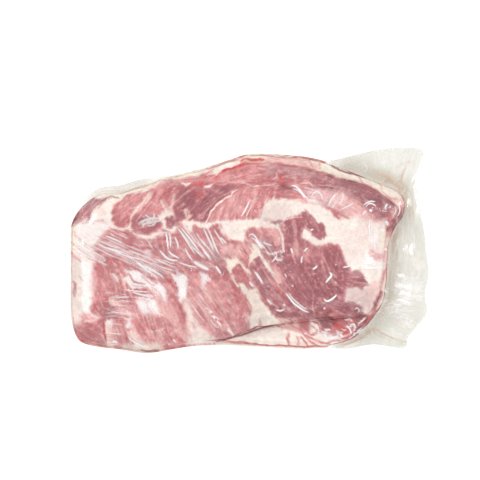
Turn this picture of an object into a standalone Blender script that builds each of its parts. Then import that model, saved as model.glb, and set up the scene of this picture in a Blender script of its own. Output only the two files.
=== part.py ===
"""Pork spareribs in a clear vacuum bag, lying flat with the meaty side up.

The bag and what it is shrunk onto are one closed solid. Two racks lie on each other: the lower
one reaches the bag's rim all round, and the upper one stops a little inside it, so that a step
and a pale flap show along the back and the front right. Rib bones run across both racks, and the
loose end of the bag lies out to the right as a thin wavy tail.

X runs along the racks, Y across them to the back, and Z up. The origin is the middle of the
pack's bounding box, on the surface it lies on.
"""

import math

import bmesh
import bpy
import numpy as np

MM = 0.001

PACK_LENGTH = 390 * MM
PACK_WIDTH = 224 * MM

# The outlines are read from above, in millimetres, with X to the right and Y to the back. Each has a
# back and a front side, given from left to right, and a left and a right side, given from the back.
MEAT_OUTLINE = {
    "back": [
        (-179, 50), (-161, 61), (-140, 62), (-116, 71), (-88, 78), (-54, 86), (-23, 96), (2, 103),
        (38, 102), (70, 98), (103, 88), (135, 75), (157, 66), (168, 56),
    ],
    "right": [(168, 56), (168, 39), (158, 23), (152, 7), (150, -14), (149, -36), (145, -58), (133, -77)],
    "front": [
        (-183, -100), (-165, -105), (-140, -108), (-112, -112), (-86, -108), (-59, -104), (-27, -103),
        (11, -105), (54, -107), (89, -105), (114, -97), (133, -77),
    ],
    "left": [(-179, 50), (-192, 28), (-193, 0), (-193, -38), (-193, -68), (-190, -87), (-183, -100)],
}

# The upper rack leaves the lower one showing along the back and at the front right.
UPPER_OUTLINE = {
    "back": [
        (-175, 45), (-157, 56), (-137, 57), (-108, 68), (-75, 75), (-48, 79), (-11, 91), (7, 94),
        (38, 92), (72, 84), (95, 77), (121, 71), (146, 58), (158, 45),
    ],
    "right": [(158, 45), (158, 36), (150, 25), (147, 7), (145, -14), (143, -38), (137, -58), (125, -72)],
    "front": [
        (-178, -95), (-163, -101), (-140, -104), (-112, -108), (-86, -104), (-59, -100), (-33, -99),
        (-11, -94), (13, -86), (34, -82), (74, -78), (98, -76), (125, -72),
    ],
    "left": [(-175, 45), (-187, 25), (-189, 0), (-189, -38), (-189, -66), (-186, -84), (-178, -95)],
}

# The free edge of the bag's open end, from the back round to the front.
TAIL_EDGE = [
    (81, 98), (95, 99), (122, 106), (145, 111), (173, 113), (190, 109), (185, 90), (181, 73),
    (185, 59), (188, 38), (193, 7), (196, -27), (192, -50), (194, -70), (183, -86), (174, -97),
    (168, -109), (135, -105), (110, -109), (86, -109),
]

# Heights of the upper rack's top at its thin left end, at its thick part and at its right end.
THIN_END_HEIGHT = 35 * MM
THICK_HEIGHT = 43 * MM
RIGHT_END_HEIGHT = 38 * MM
LOWER_RACK_HEIGHT = 21 * MM
STEP_FOOT_HEIGHT = 16 * MM
RIM_HEIGHT = 11 * MM
FILM_LIP_THICKNESS = 1.8 * MM

# How far in from an edge each surface takes to round over.
LOWER_EDGE_ROUND = 13 * MM
UPPER_EDGE_ROUND = 26 * MM
BASE_EDGE_ROUND = 16 * MM
ROUNDNESS = 2.3

# The film lip outside the meat, wider over the notch at the back left.
LIP_WIDTH = 2.6 * MM
NOTCH_LIP_WIDTH = 8.5 * MM
NOTCH_LIP_CENTRE_X = -140 * MM
NOTCH_LIP_REACH = 38 * MM

TAIL_REST_HEIGHT = 3.2 * MM
TAIL_DROP_REACH = 34 * MM
TAIL_WAVE = 1.5 * MM

# Ribs lie nearly square across the left end and lean over towards the right.
RIB_PITCH = 26 * MM
RIB_RELIEF = 1.7 * MM
RIB_LEAN_LEFT = 0.10
RIB_LEAN_RIGHT = 0.66
RIB_PIVOT_Y = -60 * MM
BASE_GROOVE_DEPTH = 1.5 * MM

ALONG_CELLS = 58
ACROSS_CELLS = 28
STEP_ROWS = 3
SKIRT_ROWS = 3
SAMPLES_PER_SPAN = 12

FLESH_COLOUR = (0.62, 0.27, 0.28, 1.0)


def spline(points, closed):
    """A Catmull-Rom curve through the points, in metres, sampled evenly within each span."""
    knots = np.array(points, float) * MM
    count = len(knots)
    spans = count if closed else count - 1

    def knot(i):
        return knots[i % count] if closed else knots[min(max(i, 0), count - 1)]

    samples = []
    for i in range(spans):
        p0, p1, p2, p3 = knot(i - 1), knot(i), knot(i + 1), knot(i + 2)
        for t in np.arange(SAMPLES_PER_SPAN) / SAMPLES_PER_SPAN:
            samples.append(
                0.5 * (2 * p1 + (p2 - p0) * t + (2 * p0 - 5 * p1 + 4 * p2 - p3) * t**2
                       + (3 * p1 - p0 - 3 * p2 + p3) * t**3)
            )
    if not closed:
        samples.append(knots[-1])
    return np.array(samples)


def evenly_spaced(line, count):
    """count points along the line, the same length of line between each two."""
    steps = np.linalg.norm(np.diff(line, axis=0), axis=1)
    along = np.concatenate([[0.0], np.cumsum(steps)])
    at = np.linspace(0.0, along[-1], count)
    return np.column_stack([np.interp(at, along, line[:, k]) for k in range(2)])


def outline_and_sides(outline):
    """The closed outline as one spline, and its four sides cut from that spline at the corners."""
    runs = [
        outline["back"][:-1], outline["right"][:-1],
        outline["front"][:0:-1], outline["left"][:0:-1],
    ]
    closed = spline([point for run in runs for point in run], closed=True)
    ends = np.cumsum([0] + [len(run) * SAMPLES_PER_SPAN for run in runs])
    looped = np.vstack([closed, closed[:1]])
    back, right, front, left = (looped[a:b + 1] for a, b in zip(ends[:-1], ends[1:]))
    return closed, {
        "back": evenly_spaced(back, ALONG_CELLS + 1),
        "right": evenly_spaced(right[::-1], ACROSS_CELLS + 1),
        "front": evenly_spaced(front[::-1], ALONG_CELLS + 1),
        "left": evenly_spaced(left, ACROSS_CELLS + 1),
    }


def inside_distance(points, outline):
    """How far each point lies inside the closed outline, and below zero outside it."""
    ends = np.roll(outline, -1, axis=0)
    run = ends - outline
    to_point = points[:, None, :] - outline[None, :, :]
    share = np.clip((to_point * run).sum(2) / np.maximum((run**2).sum(1), 1e-12), 0.0, 1.0)
    nearest = np.linalg.norm(to_point - share[..., None] * run, axis=2).min(axis=1)
    above = outline[None, :, 1] > points[:, None, 1]
    ends_above = ends[None, :, 1] > points[:, None, 1]
    rise = np.where(np.abs(run[:, 1]) < 1e-12, 1e-12, run[:, 1])
    crossing_x = outline[:, 0] + (points[:, None, 1] - outline[:, 1]) / rise * run[:, 0]
    crossings = ((above != ends_above) & (points[:, None, 0] < crossing_x)).sum(axis=1)
    return np.where(crossings % 2 == 1, nearest, -nearest)


def smoothstep(low, high, value):
    t = np.clip((value - low) / (high - low), 0.0, 1.0)
    return t * t * (3 - 2 * t)


def rounded_rise(share):
    """From 0 at an edge to 1, steep at first, like the side of a rounded slab."""
    t = np.clip(share, 0.0, 1.0)
    return (1 - (1 - t) ** ROUNDNESS) ** (1 / ROUNDNESS)


def smooth_max(a, b, blend):
    top = np.maximum(a, b)
    return top + blend * np.log(np.exp((a - top) / blend) + np.exp((b - top) / blend))


def rib_wave(points):
    """1 along the middle of each rib and -1 between two ribs, the ribs fanning out to the right."""
    x, y = points[:, 0], points[:, 1]
    lean = RIB_LEAN_LEFT + (RIB_LEAN_RIGHT - RIB_LEAN_LEFT) * smoothstep(-170 * MM, 10 * MM, x)
    return np.cos(2 * math.pi * (x + lean * (y - RIB_PIVOT_Y)) / RIB_PITCH)


def bump(points, x, y, reach_x, reach_y):
    """A soft round swelling of height 1 at (x, y)."""
    return np.exp(-(((points[:, 0] - x) / reach_x) ** 2) - ((points[:, 1] - y) / reach_y) ** 2)


def muscle_relief(points):
    """What stands out of the upper rack: ribs at the front, and a few broad muscles."""
    x, y = points[:, 0], points[:, 1]
    ribs_show = smoothstep(40 * MM, -30 * MM, y) * smoothstep(30 * MM, -25 * MM, x)
    relief = RIB_RELIEF * rib_wave(points) * ribs_show
    relief += 3.0 * MM * bump(points, 84 * MM, -28 * MM, 34 * MM, 42 * MM)
    relief += 2.2 * MM * bump(points, 118 * MM, 52 * MM, 46 * MM, 16 * MM)
    relief += 1.8 * MM * bump(points, 0 * MM, 52 * MM, 34 * MM, 18 * MM)
    relief -= 2.0 * MM * bump(points, 132 * MM, -2 * MM, 20 * MM, 30 * MM)
    return relief


def pack_top(points, meat_outline, upper_outline):
    """Height of the bag's upper side over the meat."""
    from_rim = inside_distance(points, meat_outline)
    from_step = inside_distance(points, upper_outline)
    rim_top = RIM_HEIGHT + FILM_LIP_THICKNESS / 2
    lower = rim_top + (LOWER_RACK_HEIGHT - rim_top) * rounded_rise(from_rim / LOWER_EDGE_ROUND)
    x = points[:, 0]
    crown = THIN_END_HEIGHT + (THICK_HEIGHT - THIN_END_HEIGHT) * smoothstep(-180 * MM, 40 * MM, x)
    crown -= (THICK_HEIGHT - RIGHT_END_HEIGHT) * smoothstep(90 * MM, 165 * MM, x)
    rise = rounded_rise(from_step / UPPER_EDGE_ROUND)
    upper = STEP_FOOT_HEIGHT + (crown - STEP_FOOT_HEIGHT + muscle_relief(points)) * rise
    height = np.where(from_step > 0, smooth_max(lower, upper, 1.2 * MM), lower)
    return np.where(from_rim > 1e-6, height, rim_top)


def pack_base(points, meat_outline):
    """Height of the bag's underside: flat along the rib bones, with shallow grooves between them."""
    from_rim = inside_distance(points, meat_outline)
    rim_bottom = RIM_HEIGHT - FILM_LIP_THICKNESS / 2
    under_edge = rim_bottom * (1 - rounded_rise(from_rim / BASE_EDGE_ROUND))
    between = smoothstep(0.15, 1.0, -rib_wave(points))
    groove = BASE_GROOVE_DEPTH * between * smoothstep(12 * MM, 30 * MM, from_rim)
    return np.where(from_rim > 1e-6, under_edge + groove, rim_bottom)


def coons_patch(sides):
    """A grid of plan points that follows all four sides, as grid[along][across] from the front left."""
    u = np.linspace(0.0, 1.0, ALONG_CELLS + 1)[:, None, None]
    v = np.linspace(0.0, 1.0, ACROSS_CELLS + 1)[None, :, None]
    back, front = sides["back"][:, None, :], sides["front"][:, None, :]
    left, right = sides["left"][None, :, :], sides["right"][None, :, :]
    corners = (
        (1 - u) * (1 - v) * front[0, 0] + u * (1 - v) * front[-1, 0]
        + (1 - u) * v * back[0, 0] + u * v * back[-1, 0]
    )
    return (1 - v) * front + v * back + (1 - u) * left + u * right - corners


def stations(sides):
    """The four sides as one closed run, from the back left corner round the right end."""
    return np.vstack([
        sides["back"][:-1], sides["right"][:0:-1], sides["front"][:0:-1], sides["left"][:-1],
    ])


def lip_edge(rim):
    """Where the film's free edge lies outside each rim station, with the tail at the right end."""
    along = np.roll(rim, -1, axis=0) - np.roll(rim, 1, axis=0)
    outward = np.column_stack([-along[:, 1], along[:, 0]])
    outward /= np.linalg.norm(outward, axis=1)[:, None]
    at_back = rim[:, 1] > 0
    notch = np.exp(-(((rim[:, 0] - NOTCH_LIP_CENTRE_X) / NOTCH_LIP_REACH) ** 2)) * at_back
    width = LIP_WIDTH + (NOTCH_LIP_WIDTH - LIP_WIDTH) * notch
    edge = rim + outward * width[:, None]
    tail = spline(TAIL_EDGE, closed=False)
    first = int(np.argmin(np.linalg.norm(rim - tail[0], axis=1)))
    last = int(np.argmin(np.linalg.norm(rim - tail[-1], axis=1)))
    rim_run = np.concatenate([[0.0], np.cumsum(np.linalg.norm(np.diff(rim[first:last + 1], axis=0), axis=1))])
    tail_run = np.concatenate([[0.0], np.cumsum(np.linalg.norm(np.diff(tail, axis=0), axis=1))])
    at = rim_run / rim_run[-1] * tail_run[-1]
    edge[first:last + 1] = np.column_stack([np.interp(at, tail_run, tail[:, k]) for k in range(2)])
    return edge


def skirt_height(rim, points):
    """Middle height of the film outside the meat: level at the rim, drooping and waving further out."""
    reach = np.linalg.norm(points - rim, axis=1)
    drop = smoothstep(2 * MM, TAIL_DROP_REACH, reach)
    x, y = points[:, 0], points[:, 1]
    wave = np.sin(2 * math.pi * y / (47 * MM) + x / (19 * MM)) + 0.6 * np.sin(2 * math.pi * x / (31 * MM))
    return RIM_HEIGHT + (TAIL_REST_HEIGHT - RIM_HEIGHT) * drop + TAIL_WAVE * 0.6 * wave * drop


def border_keys():
    """Places in the grid along its border, in the order of stations."""
    back = [(i, ACROSS_CELLS) for i in range(ALONG_CELLS)]
    right = [(ALONG_CELLS, j) for j in range(ACROSS_CELLS, 0, -1)]
    front = [(i, 0) for i in range(ALONG_CELLS, 0, -1)]
    left = [(0, j) for j in range(ACROSS_CELLS)]
    return back + right + front + left


def flat_side(rings):
    """One side of the pack, still flat: a grid, with a row of faces out to each ring of points round it.

    The grid's cells are split along the way that the ribs lean.
    """
    side = bmesh.new()
    bmesh.ops.create_grid(side, x_segments=ALONG_CELLS, y_segments=ACROSS_CELLS, size=1.0)
    bmesh.ops.triangulate(side, faces=side.faces, quad_method="ALTERNATE")
    grid = {}
    for vert in side.verts:
        i = round((vert.co.x + 1) / 2 * ALONG_CELLS)
        j = round((vert.co.y + 1) / 2 * ACROSS_CELLS)
        grid[i, j] = vert
    loops = [[grid[key] for key in border_keys()]]
    for ring in rings:
        loops.append([side.verts.new((x, y, 0.0)) for x, y in ring])
        inner, outer = loops[-2], loops[-1]
        for k in range(len(ring)):
            side.faces.new((inner[k], outer[k], outer[k - 1], inner[k - 1]))
    return side, grid, loops


def add_side(net, sign, patch, rings, patch_heights, ring_heights):
    """Adds the upper side (sign 1) or the under side (sign -1) to the net, and returns its outermost loop."""
    side, grid, loops = flat_side(rings)
    for (i, j), vert in grid.items():
        vert.co = (*patch[i, j], patch_heights[i, j])
    for loop, heights in zip(loops[1:], ring_heights):
        for vert, height in zip(loop, heights):
            vert.co.z = height
    bmesh.ops.recalc_face_normals(side, faces=side.faces)
    if sum(face.normal.z for face in side.faces) * sign < 0:
        bmesh.ops.reverse_faces(side, faces=side.faces)
    outermost = len(loops[-1])
    mesh = bpy.data.meshes.new("side")
    side.to_mesh(mesh)
    side.free()
    net.from_mesh(mesh)
    bpy.data.meshes.remove(mesh)
    net.verts.ensure_lookup_table()
    return list(net.verts)[-outermost:]


def build_pack():
    meat_outline, meat_sides = outline_and_sides(MEAT_OUTLINE)
    upper_outline, upper_sides = outline_and_sides(UPPER_OUTLINE)
    patch = coons_patch(upper_sides)
    step, rim = stations(upper_sides), stations(meat_sides)
    edge = lip_edge(rim)

    step_rings = [step + (rim - step) * (row / STEP_ROWS) for row in range(1, STEP_ROWS + 1)]
    skirt_rings = [rim + (edge - rim) * (row / SKIRT_ROWS) for row in range(1, SKIRT_ROWS + 1)]
    skirt_heights = [skirt_height(rim, ring) for ring in skirt_rings]
    plan = patch.reshape(-1, 2)
    heights_of = {
        1: lambda points: pack_top(points, meat_outline, upper_outline),
        -1: lambda points: pack_base(points, meat_outline),
    }

    net = bmesh.new()
    edges = {}
    for sign, height_of in heights_of.items():
        lip = sign * FILM_LIP_THICKNESS / 2
        step_heights = [height_of(ring) for ring in step_rings[:-1]]
        step_heights.append(np.full(len(rim), RIM_HEIGHT + lip))
        edges[sign] = add_side(
            net, sign, patch, step_rings + skirt_rings, height_of(plan).reshape(patch.shape[:2]),
            step_heights + [heights + lip for heights in skirt_heights],
        )
    for k in range(len(rim)):
        net.faces.new((edges[1][k], edges[-1][k], edges[-1][k - 1], edges[1][k - 1]))
    bmesh.ops.recalc_face_normals(net, faces=net.faces)
    centre_and_fit(net)

    mesh = bpy.data.meshes.new("vacuum_packed_spareribs")
    net.to_mesh(mesh)
    net.free()
    return mesh


def centre_and_fit(net):
    """Moves the pack's middle to the origin, and makes its length and width the stated ones."""
    plan = np.array([vert.co[:2] for vert in net.verts])
    low, high = plan.min(axis=0), plan.max(axis=0)
    middle = (low + high) / 2
    scale = np.array([PACK_LENGTH, PACK_WIDTH]) / (high - low)
    for vert in net.verts:
        vert.co.x = (vert.co.x - middle[0]) * scale[0]
        vert.co.y = (vert.co.y - middle[1]) * scale[1]


def flesh_material():
    material = bpy.data.materials.new("packed_pork")
    material.use_nodes = True
    shader = material.node_tree.nodes["Principled BSDF"]
    shader.inputs["Base Color"].default_value = FLESH_COLOUR
    shader.inputs["Roughness"].default_value = 0.3
    shader.inputs["Metallic"].default_value = 0.0
    return material


def main():
    for old in list(bpy.data.objects):
        bpy.data.objects.remove(old)
    group = bpy.data.collections.new("pork_spareribs")
    bpy.context.scene.collection.children.link(group)
    mesh = build_pack()
    mesh.materials.append(flesh_material())
    mesh.shade_smooth()
    group.objects.link(bpy.data.objects.new("vacuum_packed_spareribs", mesh))


main()
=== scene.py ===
"""Looks of the vacuum-packed pork spareribs.

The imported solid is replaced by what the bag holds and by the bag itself: an upper and a lower rack of
raw pork, and the film's upper and under side, shrunk on, creased, and loose at the right end.

The pack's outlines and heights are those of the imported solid. What lies where on the meat and on the
film is given by places read off the photograph, in its pixels to the right and down.
"""

import math

import bpy
import numpy as np
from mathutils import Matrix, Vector


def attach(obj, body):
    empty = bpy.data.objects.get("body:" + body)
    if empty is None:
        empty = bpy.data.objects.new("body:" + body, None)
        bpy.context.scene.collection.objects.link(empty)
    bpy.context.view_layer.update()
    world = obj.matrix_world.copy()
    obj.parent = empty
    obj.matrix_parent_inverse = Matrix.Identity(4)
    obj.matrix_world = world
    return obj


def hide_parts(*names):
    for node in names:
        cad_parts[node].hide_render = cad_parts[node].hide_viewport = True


MM = 0.001

# The photograph looks straight down: its middle of the pack, and how large one of its pixels is there.
PHOTO_CENTRE = np.array([249.8, 249.5])
PHOTO_PIXEL = 1.08 * MM
PHOTO_SIDE = 480

PACK_LENGTH = 390 * MM
PACK_WIDTH = 224 * MM

# Outlines seen from above, in millimetres, with X to the right and Y to the back.
MEAT_OUTLINE = {
    "back": [
        (-179, 50), (-161, 61), (-140, 62), (-116, 71), (-88, 78), (-54, 86), (-23, 96), (2, 103),
        (38, 102), (70, 98), (103, 88), (135, 75), (157, 66), (168, 56),
    ],
    "right": [(168, 56), (168, 39), (158, 23), (152, 7), (150, -14), (149, -36), (145, -58), (133, -77)],
    "front": [
        (-183, -100), (-165, -105), (-140, -108), (-112, -112), (-86, -108), (-59, -104), (-27, -103),
        (11, -105), (54, -107), (89, -105), (114, -97), (133, -77),
    ],
    "left": [(-179, 50), (-192, 28), (-193, 0), (-193, -38), (-193, -68), (-190, -87), (-183, -100)],
}
UPPER_OUTLINE = {
    "back": [
        (-175, 45), (-157, 56), (-137, 57), (-108, 68), (-75, 75), (-48, 79), (-11, 91), (7, 94),
        (38, 92), (72, 84), (95, 77), (121, 71), (146, 58), (158, 45),
    ],
    "right": [(158, 45), (158, 36), (150, 25), (147, 7), (145, -14), (143, -38), (137, -58), (125, -72)],
    "front": [
        (-178, -95), (-163, -101), (-140, -104), (-112, -108), (-86, -104), (-59, -100), (-33, -99),
        (-11, -94), (13, -86), (34, -82), (74, -78), (98, -76), (125, -72),
    ],
    "left": [(-175, 45), (-187, 25), (-189, 0), (-189, -38), (-189, -66), (-186, -84), (-178, -95)],
}
TAIL_EDGE = [
    (81, 98), (95, 99), (122, 106), (145, 111), (173, 113), (190, 109), (185, 90), (181, 73),
    (185, 59), (188, 38), (193, 7), (196, -27), (192, -50), (194, -70), (183, -86), (174, -97),
    (168, -109), (135, -105), (110, -109), (86, -109),
]

THIN_END_HEIGHT = 35 * MM
THICK_HEIGHT = 43 * MM
RIGHT_END_HEIGHT = 38 * MM
LOWER_RACK_HEIGHT = 21 * MM
STEP_FOOT_HEIGHT = 16 * MM
RIM_HEIGHT = 11 * MM
LOWER_EDGE_ROUND = 13 * MM
UPPER_EDGE_ROUND = 26 * MM
BASE_EDGE_ROUND = 16 * MM
ROUNDNESS = 2.3

LIP_WIDTH = 2.6 * MM
NOTCH_LIP_WIDTH = 8.5 * MM
NOTCH_LIP_CENTRE_X = -140 * MM
NOTCH_LIP_REACH = 38 * MM
TAIL_REST_HEIGHT = 3.2 * MM

RIB_PITCH = 26 * MM
RIB_RELIEF = 1.7 * MM
RIB_LEAN_LEFT = 0.10
RIB_LEAN_RIGHT = 0.66
RIB_PIVOT_Y = -60 * MM
BASE_GROOVE_DEPTH = 1.5 * MM

# Broad muscles on the upper rack, and a hollow: height, place, and reach along X and Y, in millimetres.
MUSCLES = [
    (3.0, 84, -28, 34, 42),
    (2.2, 118, 52, 46, 16),
    (1.8, 0, 52, 34, 18),
    (-2.0, 132, -2, 20, 30),
]

# Stretches over which something fades in, from none to all, along X, along Y or inward from an edge.
RIBS_FADE_Y = (40 * MM, -30 * MM)
RIBS_FADE_X = (30 * MM, -25 * MM)
RIB_LEAN_X = (-170 * MM, 10 * MM)
CROWN_RISE_X = (-180 * MM, 40 * MM)
CROWN_FALL_X = (90 * MM, 165 * MM)
CREVICE_X = (-60 * MM, -20 * MM)
CREVICE_Y = (-10 * MM, -60 * MM)
RIGHT_STEP_X = (120 * MM, 145 * MM)
GROOVE_WAVE = (0.15, 1.0)
GROOVE_FROM_RIM = (12 * MM, 30 * MM)
TAIL_DROP = (2 * MM, 34 * MM)

# How softly the two racks run into each other, and how much of that the crevice takes away.
STEP_SOFTNESS = 3.4 * MM
CREVICE_SHARPNESS = 2.4 * MM
RIGHT_STEP_SHARE = 0.6
STEP_FALL = 2.0

# The loose end's waves: lengths across, slanting and along, and the share of the second wave.
TAIL_WAVE = 0.9 * MM
WAVE_ACROSS = 47 * MM
WAVE_SLANT = 19 * MM
WAVE_ALONG = 31 * MM
WAVE_SHARE = 0.6

# The meat lies this far under the film.
FILM_GAP = 0.7 * MM
CREASE_HEIGHT = 0.55 * MM

SAMPLES_PER_SPAN = 12

PACKED_NODE = "vacuum_packed_spareribs"

# Cells along and across the racks, of what shows from above and of what shows from below.
TOP_CELLS = (412, 236)
BASE_CELLS = (220, 124)
LEDGE_ROWS = 22
FILM_LEDGE_ROWS = 18
UNDER_ROWS = 6
SKIRT_ROWS = 26
UNDER_SKIRT_ROWS = 10

# The ledge's rows stand closer together towards the rim by this power.
LEDGE_CROWDING = 1.5

# How far the two racks reach under and into each other, out of sight.
TUCK_WIDTH = 4 * MM
TUCK_DEPTH = 2 * MM
STEP_SINK = 0.3 * MM

# The meat's two skins at the rim stand this far above and below its height, and the meat's underside
# this far above the film.
RIM_SPLIT = 0.15 * MM
UNDER_GAP = 0.6 * FILM_GAP

# Relief fades in over this stretch from the upper rack's edge, and creases over this many rows of film.
RELIEF_FROM_STEP = (0.5 * MM, 5 * MM)
SETTLED_ROWS = 4

# Where the film's lip narrows from the first width to the second, the meat comes to fill this much of it.
FILLED_LIP = (5 * MM, 3.2 * MM)
EDGE_FILLED = 2.1 * MM

# Painted shade in the crease at the upper rack's edge: how far out it fades, how dark it is, and where.
STEP_SHADE_FADE = (2.4 * MM, 0.2 * MM)
SHADE_FRONT = 0.8
SHADE_FRONT_X = (-55 * MM, -25 * MM)
SHADE_FRONT_Y = (-40 * MM, -65 * MM)
SHADE_FRONT_END = (15 * MM, 40 * MM)
SHADE_RIGHT = 0.1
SHADE_RIGHT_X = (125 * MM, 138 * MM)
SHADE_BACK = 0.05
SHADE_BACK_X = (-60 * MM, -20 * MM)
SHADE_BACK_Y = (30 * MM, 50 * MM)

# The shaders draw grain and creases along this many fixed directions, and mix between them.
TURNS = 8

# Painting on the flesh and the film, in pixels: how far an area's or line's surroundings count, how much
# softer all areas are than stated, and the swings in place (size and reach) that roughen every edge.
SURROUNDINGS = 4
EDGE_SOFTNESS = 1.5
EDGE_BLUR = 0.8
WANDER = [(7, 2.0), (2.6, 1.0)]
DRAWN_SAMPLES = 4
LINE_ENDS = (0.04, 0.96)
LINE_END_WIDTH = 0.35
LINE_BLUR = 0.6

# Families of lines: how much their weights vary, how far each one strays, and their first seeds.
FAN_SAMPLES = 6
FAN_WEIGHTS = (0.55, 1.3)
FAN_STRAY = 0.6
FLESH_FAN_SEED = 60
FILM_FAN_SEED = 80
STRONGEST_CREASE = 0.9

# How widely the stated directions of the grain blend into each other.
GRAIN_BLEND = 30
GRAIN_FALLOFF = 1.6

# Streaks: steps along one, and for each kind its width and reach in pixels and its seed.
STREAK_STEPS = 13
STREAK_SHIFT = 40
STREAK_SPREAD = 4
FIBRE = (0.9, 2.8, 11)
BUNDLE = (2.2, 6.0, 12)
BONE_STRAND = (1.6, 9.0, 31)
FINE_WRINKLE = (1.0, 7.0, 41)
BROAD_WRINKLE = (2.4, 14.0, 42)

# Blotches: the size of their swings, and their seed.
BLUSH = ([11, 8], 23)
CLOUD = (9, 20)
MOTTLE = (3.4, 21)
SPECKLE = (1.5, 22)
BONE_PATCHES = (22, 32)
BONE_FLECKS = (5, 33)
LAYER_HEIGHTS = (11, 34)
LAYER_PHASES = (26, 35)
RAGGED = (2.6, 43)
GLINTS = (1.3, 44)
GLINT_PATCHES = ([15, 12], 45)
BONE_PATCH_SHIFT = [66, 198]

# Flesh counts as lean from this much more red than green on.
RED_OVER_GREEN = (20, 60)

# The ribs seen from below and at their cut ends; the half width is an angle of the rib wave, in radians.
RIB_SLANT = 100
BONE_CENTRE = 9.5 * MM
BONE_HALF_WIDTH = 0.95
BONE_HALF_HEIGHT = 5 * MM

MUSCLE_SWELL = 0.3 * MM
SWELL_REACH = 7
SEAM_DEPTH = 0.7 * MM
FAINT_SEAM = 0.4
FIBRE_RELIEF = 0.4 * MM

FILM_LAYERS_APART = 0.8 * MM
FILM_CLEARANCE = 0.25 * MM
FILM_BLEND = 0.15 * MM
LOOSE_HAZE = 0.42
MOST_HAZE = 0.96
UNDER_HAZE = 0.4
UNDER_LIFT = 0.3
UNDER_SHIFT = np.array([3.0, -2.0])

# The film's wrinkles: where the random values count as one, how milky it is, and its share in the height.
RIDGE_RANGE = (0.60, 0.90)
RIDGE_HAZE = 0.20
RIDGE_LIFT = 0.55
FOLD_RANGE = (0.62, 0.92)
FOLD_HAZE = 0.16
FOLD_LIFT = 0.9
CREASE_CORE = (0.12, 0.62)

# Small glints on the film: the thresholds for them and for the patches that hold them, and strength.
GLINT_RANGE = (0.86, 0.95)
GLINT_PATCH_RANGE = (0.5, 0.8)
GLINT_STRENGTH = 0.45

# The film outside the meat: how hazy it stays where it is tight, and over which widths of the lip and
# reaches from the rim it comes to look slack and loose, losing the painted shade it has near the meat.
TIGHT_HAZE = 0.04
SLACK_LIP = (3.2 * MM, 7 * MM)
LOOSE_REACH = (3 * MM, 24 * MM)
NARROW_LIP = (20 * MM, 10 * MM)

# Shader noises: scale, detail and roughness, or scale across, scale along and detail.
NOISE_RANGE = (0.3, 0.7)
FINE_GRAIN = (1400.0, 4.0)
CLOTTED_GRAIN = (420.0, 3.0)
FIBRE_GRAIN = (900.0, 190.0, 2.0)
CRINKLES = (260.0, 4.0, 0.6)
RIPPLES = (75.0, 2.0)
FINE_CREASES = (620.0, 75.0, 2.5)

# The flesh's shader; bumps are given by their strength and height.
GRAIN_SHADES = (0.94, 1.06)
FIBRE_CONTRAST = 0.65
MARBLING_RANGE = (0.80, 0.98)
MOST_MARBLING = 0.45
FLESH_ROUGHNESS = (0.42, 0.6)
FLESH_BUMPS = (0.35, 0.5 * MM)

# The film's shader.
CREASE_BUMPS = (0.3, 2.4)
FILM_BUMPS = (0.5, 0.6 * MM)
FILM_ROUGHNESS = 0.13
FILM_REFLECTION = (0.04, 0.18)
SHINE_THROUGH = 0.05
# Painted highlight along the fine creases: where the crease noise counts, and at most how strong.
CREASE_HIGHLIGHT_RANGE = (0.54, 0.67)
MOST_CREASE_HIGHLIGHT = 0.6

# The photograph's camera, straight above; its pixels are as large as stated at this height.
CAMERA_HEIGHT = 1.6
PHOTO_PLANE = 15 * MM
CAMERA_PLAN = (PHOTO_SIDE / 2 - PHOTO_CENTRE) * [1, -1] * PHOTO_PIXEL
SENSOR_WIDTH = 36.0
FARTHEST_SEEN = 20.0

FLOOR_HALF = 3.0
FLOOR_TONE = (0.7, 0.7, 0.7, 1.0)
FLOOR_GLOW = 0.55
SKY_STRENGTH = 0.60
WHITE = (1.0, 1.0, 1.0, 1.0)

# Lights: name, place, width and depth, power.
SOFTBOXES = [
    ("softbox_left", (-1.5, 0.9, 1.5), (0.45, 0.45), 21.0),
    ("softbox_right", (1.6, 0.3, 1.3), (0.35, 0.7), 12.0),
    ("softbox_front", (0.2, -1.5, 1.7), (1.6, 0.9), 9.0),
]

# Colours as they look, 0 to 255.
PALETTE = {
    "white": (250, 247, 245),
    "fat": (245, 231, 222),
    "cream": (237, 226, 212),
    "salmon": (237, 207, 197),
    "pale": (230, 179, 176),
    "pink": (218, 147, 147),
    "lean": (194, 120, 123),
    "red": (187, 100, 102),
    "dark": (168, 102, 108),
    "purple": (150, 86, 93),
    "deep": (131, 63, 66),
    "blood": (204, 84, 84),
    "tan": (200, 166, 136),
    "grey": (206, 178, 174),
    "glare": (255, 251, 251),
    # The film near the meat: a tint, darkened with painted shade beside the meat.
    "film_near_tint_and_shade": (184, 177, 157),
    "film_out": (216, 214, 202),
}
LEAN_KINDS = ("pink", "lean", "red", "dark", "purple", "pale")

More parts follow.
